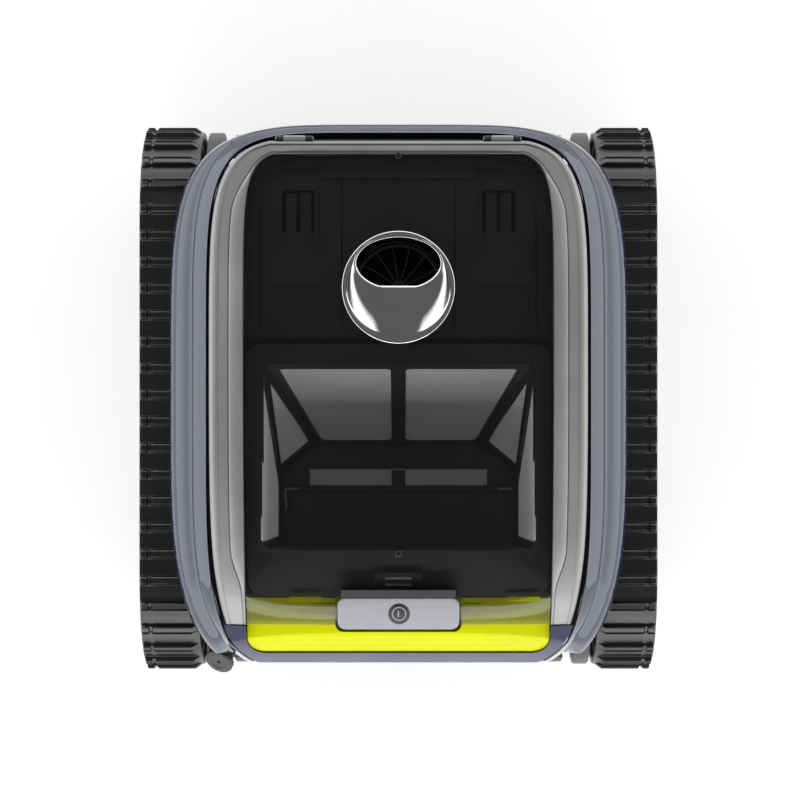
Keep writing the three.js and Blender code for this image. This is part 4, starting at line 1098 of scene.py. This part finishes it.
# ------------------------------------------------------------------ tracks
def belt_point(distance, radius):
    """(y, z) at a distance along the pitch line and a radius from the wheel axes."""
    straight, pitch = 2 * WHEEL_Y, BELT_SKIN + 0.5
    turn = math.pi * pitch
    around = 2 * (straight + turn)
    s = distance % around
    if s < straight:
        return -WHEEL_Y + s, WHEEL_Z - radius
    if s < straight + turn:
        angle = (s - straight) / pitch - math.pi / 2
        return WHEEL_Y + radius * math.cos(angle), WHEEL_Z + radius * math.sin(angle)
    if s < 2 * straight + turn:
        return WHEEL_Y - (s - straight - turn), WHEEL_Z + radius
    angle = (s - 2 * straight - turn) / pitch + math.pi / 2
    return -WHEEL_Y + radius * math.cos(angle), WHEEL_Z + radius * math.sin(angle)


def track_belt():
    """Rubber belt: ribs with chamfered ends, and a small square lug at the outer end of each."""
    around = 2 * (2 * WHEEL_Y + math.pi * (BELT_SKIN + 0.5))
    pitch = around / RIBS
    # along the belt from the middle of a rib, share of the rib's height there
    half_rib = [(1.7, 0.72), (2.1, 0.8), (2.35, 0.95), (2.7, 1.0), (3.1, 0.98), (3.45, 0.85),
                (4.0, 0.1), (4.35, 0.02), (4.9, 0), (7.4, 0)]
    rise = [(-pitch / 2, 0)] + [(-offset, share) for offset, share in reversed(half_rib)] + half_rib
    # across the belt, share of a rib's height there
    ends = [(BELT_IN_X, -0.16), (154.5, 0), (155.6, 0), (156.4, 0.1), (160.6, 0.9), (161.6, 1.0),
            (189.6, 1.0), (190.6, 0.94), (191.4, 0.55), (193.2, 0.55), (194, 0.94), (194.6, 1.0),
            (198.2, 1.0), (198.9, 0.9), (199.5, 0.1), (BELT_OUT_X, -0.1)]
    back = [(BELT_OUT_X, BELT_INNER + 0.6), (BELT_OUT_X - 0.6, BELT_INNER),
            (BELT_IN_X + 0.6, BELT_INNER), (BELT_IN_X, BELT_INNER + 0.6)]
    height = BELT_RIB - BELT_SKIN
    rings = []
    for rib in range(RIBS):
        for offset, share in rise:
            distance = (rib + 0.5) * pitch + offset
            ring = []
            for x, end_share in ends:
                lift = min(end_share, 0) if share <= 0 or end_share <= 0 else share * end_share
                ring.append((x, *belt_point(distance, BELT_SKIN + height * lift)))
            rings.append(ring + [(x, *belt_point(distance, radius)) for x, radius in back])
    belt = skinned(rings, around=True)
    pair("{}_track_belt_tread", belt, "chassis", RUBBER, "{}_track_belt", sharp=30)


def obround(radius, steps=40):
    """(y, z) outline round both wheels."""
    return (arc(WHEEL_Y, WHEEL_Z, radius, -90, 90, steps) + arc(-WHEEL_Y, WHEEL_Z, radius, 90, 270, steps))


def side_frames():
    """Plate inboard of each belt, with a raised border and the posts of the hub panel."""
    plate = prism(obround(SIDE_PLATE), "x", 138.3, 150, 1.2)
    recess = prism(obround(SIDE_PLATE - 8), "x", 148.4, 152)
    posts = [rod("x", point, 7, 147, 183.6) for point in LINK_SCREWS]
    bosses = [rod("x", (end * WHEEL_Y, WHEEL_Z), 17, 147, 151.6) for end in (-1, 1)]
    bores = []
    for end in (-1, 1):
        bores.append(rod("x", (end * WHEEL_Y, WHEEL_Z), 8.4, 130, 160))
        bores.append(rod("x", (end * BRUSH_Y, BRUSH_Z), 5.4, 130, 160))
    plate = carved(plate, recess, *bores)
    bosses = [carved(boss, bores[0], bores[2]) for boss in bosses]
    right = joined(plate, *bosses, *posts)
    left = joined(carved(mirrored(plate), gland_room(9, 10)), *[mirrored(mesh) for mesh in (*bosses, *posts)])
    piece("right_side_frame_plate", right, "chassis", GREY, "right_side_frame", bevel=0.4)
    piece("left_side_frame_plate", left, "chassis", GREY, "left_side_frame", bevel=0.4)


def hub_panels():
    """Cover between the wheels, waisted to clear them, with moulded ribs and screws."""
    reach = BELT_INNER + 2.5

    def outline(grow):
        side = []
        for end in (1, -1):
            run = [(end * (WHEEL_Y - math.sqrt((reach + grow) ** 2 - dz ** 2)), WHEEL_Z + dz)
                   for dz in [(-62 + grow) + (124 - 2 * grow) * k / 24 for k in range(25)]]
            side += run if end == 1 else run[::-1]
        return side

    panel = prism(outline(0), "x", 184, 190, 1.0)
    panel = carved(panel, prism(outline(5), "x", 188.6, 192))
    ribs = [box(188, 189.8, -30, 30, z - 1, z + 1) for z in (50, 65, 80, 95, 110)]
    head = [(0, 188), (4, 188), (4, 189.4), (3.4, 189.9), (1.4, 189.9), (1, 189.2), (0, 189.2)]
    screws = [lathe(head, "x", point, 24) for point in LINK_SCREWS]
    pair("{}_hub_cover", joined(panel, *ribs, *screws), "chassis", GREY, "{}_hub_panel", bevel=0.3)


def wheels():
    """Wheels inside the belts: rim with drive notches, five-hole web and a capped hub."""
    rim = BELT_INNER - 0.8
    for end, place, axle_x in ((1, "rear", 90.6), (-1, "front", 136)):
        y = end * WHEEL_Y
        profile = [
            (0, axle_x), (7.4, axle_x), (8, axle_x + 0.6), (8, 152), (17.4, 152), (18, 152.6), (18, 169.5),
            (19.5, 171), (63.5, 171), (65, 169.5), (65, 157.8), (65.8, 157), (rim - 0.8, 157),
            (rim, 157.8), (rim, 196.2),
            (rim - 0.8, 197), (65.8, 197), (65, 196.2), (65, 178.5), (63.5, 177), (19.5, 177), (18, 178.5),
            (18, 189), (16.8, 190.6), (12.5, 191.4), (12, 192.6), (11.2, 193), (0, 193),
        ]
        wheel = lathe(profile, "x", (y, WHEEL_Z), 80)
        holes = [rod("x", point, 13, 160, 190, steps=28) for point in arc(y, WHEEL_Z, 41, 0, 288, 4)]
        round_rim = arc(y, WHEEL_Z, rim + 0.7, 0, 350, 35)
        notches = [rod("x", point, 2.2, 150, 200, steps=12) for point in round_rim]
        wheel = carved(wheel, *holes, *notches)
        wheel_name = "{}_" + place + "_wheel"
        pair(wheel_name + "_hub", wheel, wheel_name, GREY, wheel_name, bevel=0.4)


def brushes():
    """Brush rollers: helical rubber fins with rounded tips on a core."""
    section = [(-0.155, BRUSH_CORE), (-0.085, BRUSH_CORE + 1.2), (-0.05, BRUSH_TIP - 1), (-0.03, BRUSH_TIP),
               (0.03, BRUSH_TIP), (0.05, BRUSH_TIP - 1), (0.085, BRUSH_CORE + 1.2), (0.155, BRUSH_CORE),
               (0.45, BRUSH_CORE - 0.4)]
    end_disc = [(0, 121), (34.6, 121), (35.6, 122), (35.6, 131.4), (34.6, 132.4), (12, 132.4), (11, 131),
                (0, 131)]
    stub_sizes = ((5, 130, 149), (4, 0.4, 6))  # (radius, low x, high x)
    for end, place in ((1, "rear"), (-1, "front")):
        y = end * BRUSH_Y
        rings = []
        for k in range(49):
            x = 4 + (132.6 - 4) * k / 48
            ring = []
            for fin in range(FINS):
                for turn, radius in section:
                    angle = 2 * math.pi * fin / FINS + 0.8 * k / 48 + turn
                    ring.append((x, y + radius * math.cos(angle), BRUSH_Z + radius * math.sin(angle)))
            rings.append(ring)
        disc = lathe(end_disc, "x", (y, BRUSH_Z), 64)
        stubs = [rod("x", (y, BRUSH_Z), *sizes) for sizes in stub_sizes]
        roller = joined(skinned(rings), disc, *stubs)
        brush_name = "{}_" + place + "_brush"
        pair(brush_name + "_fins", roller, brush_name, RUBBER, brush_name)


# ------------------------------------------------------------------ carried-over CAD nodes
CARRIED = {
    "chassis_tub": (BLACK, 0.6), "intake_duct": (BLACK, 0.4), "intake_skirt": (RUBBER, 0.5),
    "motor_housing": (BLACK, 0.8), "motor_cover": (BLACK, 0.6), "pump_motor": (STEEL, 0.5),
    "right_traction_motor": (STEEL, 0.5), "left_traction_motor": (STEEL, 0.5), "control_board": (BOARD, 0.1),
    "pump_duct": (BLACK, 0.3), "impeller": (GREY, 0.3), "impeller_shaft": (STEEL, 0.3),
    "nozzle_collar": (BLACK, 0.3), "lid_gasket": (RUBBER, 0.3), "right_hinge_pin": (STEEL, 0.3),
    "left_hinge_pin": (STEEL, 0.3), "release_hook": (BLACK, 0.3), "flap_rod": (STEEL, 0.2),
    "flap_spring": (STEEL, 0), "intake_flap": (BLACK, 0.3),
}


def dress_cad_nodes():
    """Material, merged vertices and eased edges on the nodes whose CAD shape stays."""
    for name, (material, ease) in CARRIED.items():
        obj = frame["nodes"][name]
        mesh = obj.data
        mesh.materials.clear()
        mesh.materials.append(material)
        if "custom_normal" in mesh.attributes:
            mesh.attributes.remove(mesh.attributes["custom_normal"])
        mesh.shade_smooth()
        weld = obj.modifiers.new("weld", "WELD")
        weld.merge_threshold = 0.01 * MM
        if ease:
            ease_edges(obj, ease, 2, 35)


# ------------------------------------------------------------------ studio
def floor():
    material = moulded("floor_pale", (0.88, 0.88, 0.88), 0.7, tint=0.01, grain=40, relief=0.01)
    set_inputs(shader_of(material), Emission_Color=(1, 1, 1, 1), Emission_Strength=0.56)
    reach = 6.0
    bm = bmesh.new()
    bm.faces.new([bm.verts.new((reach * u, reach * v, 0)) for u, v in ((-1, -1), (1, -1), (1, 1), (-1, 1))])
    mesh = closed(bm, "floor")
    mesh.materials.append(material)
    obj = bpy.data.objects.new("floor", mesh)
    bpy.context.scene.collection.objects.link(obj)


def softbox(name, place, aim, width, height, power):
    data = bpy.data.lights.new(name, "AREA")
    data.shape = "RECTANGLE"
    data.size, data.size_y = width, height
    data.energy = power
    lamp = bpy.data.objects.new(name, data)
    lamp.location = place
    lamp.rotation_euler = (Vector(aim) - Vector(place)).to_track_quat("-Z", "Y").to_euler()
    bpy.context.scene.collection.objects.link(lamp)


def world():
    """Pale surroundings, dimmer straight overhead."""
    made = bpy.data.worlds.new("studio")
    made.use_nodes = True
    tree = made.node_tree
    where = tree.nodes.new("ShaderNodeTexCoord")
    split = tree.nodes.new("ShaderNodeSeparateXYZ")
    ramp = tree.nodes.new("ShaderNodeMapRange")
    set_inputs(ramp, From_Min=0.32, From_Max=0.56, To_Min=2.4, To_Max=0.17)
    background = tree.nodes["Background"]
    tree.links.new(where.outputs["Generated"], split.inputs[0])
    tree.links.new(split.outputs["Z"], ramp.inputs["Value"])
    tree.links.new(ramp.outputs["Result"], background.inputs["Strength"])
    set_inputs(background, Color=(1, 1, 1, 1))
    bpy.context.scene.world = made


def camera():
    """Straight down, over the middle."""
    data = bpy.data.cameras.new("camera")
    data.lens = 121.5
    data.sensor_width = 36
    data.clip_start, data.clip_end = 0.05, 50
    made = bpy.data.objects.new("camera", data)
    made.location = (0.0012, -0.0014, 2.24)
    bpy.context.scene.collection.objects.link(made)
    bpy.context.scene.camera = made


# ------------------------------------------------------------------ the object
lid_frame()
lid_window()
release_plate()
release_seat()
outlet_nozzle()
outlet_grille()
lid_screws()
body_rim()
fenders()
rear_cover()
front_fascia()
cable_gland()
filter_handle()
filter_frame()
filter_meshes()
canister_latch()
upper_deck()
track_belt()
side_frames()
hub_panels()
wheels()
brushes()
dress_cad_nodes()

floor()
world()
softbox("front_softbox", place=(0, -1.2, 0.82), aim=(0, -0.16, 0.2), width=1.8, height=0.12, power=4)
camera()
bpy.context.scene.view_settings.view_transform = "Standard"
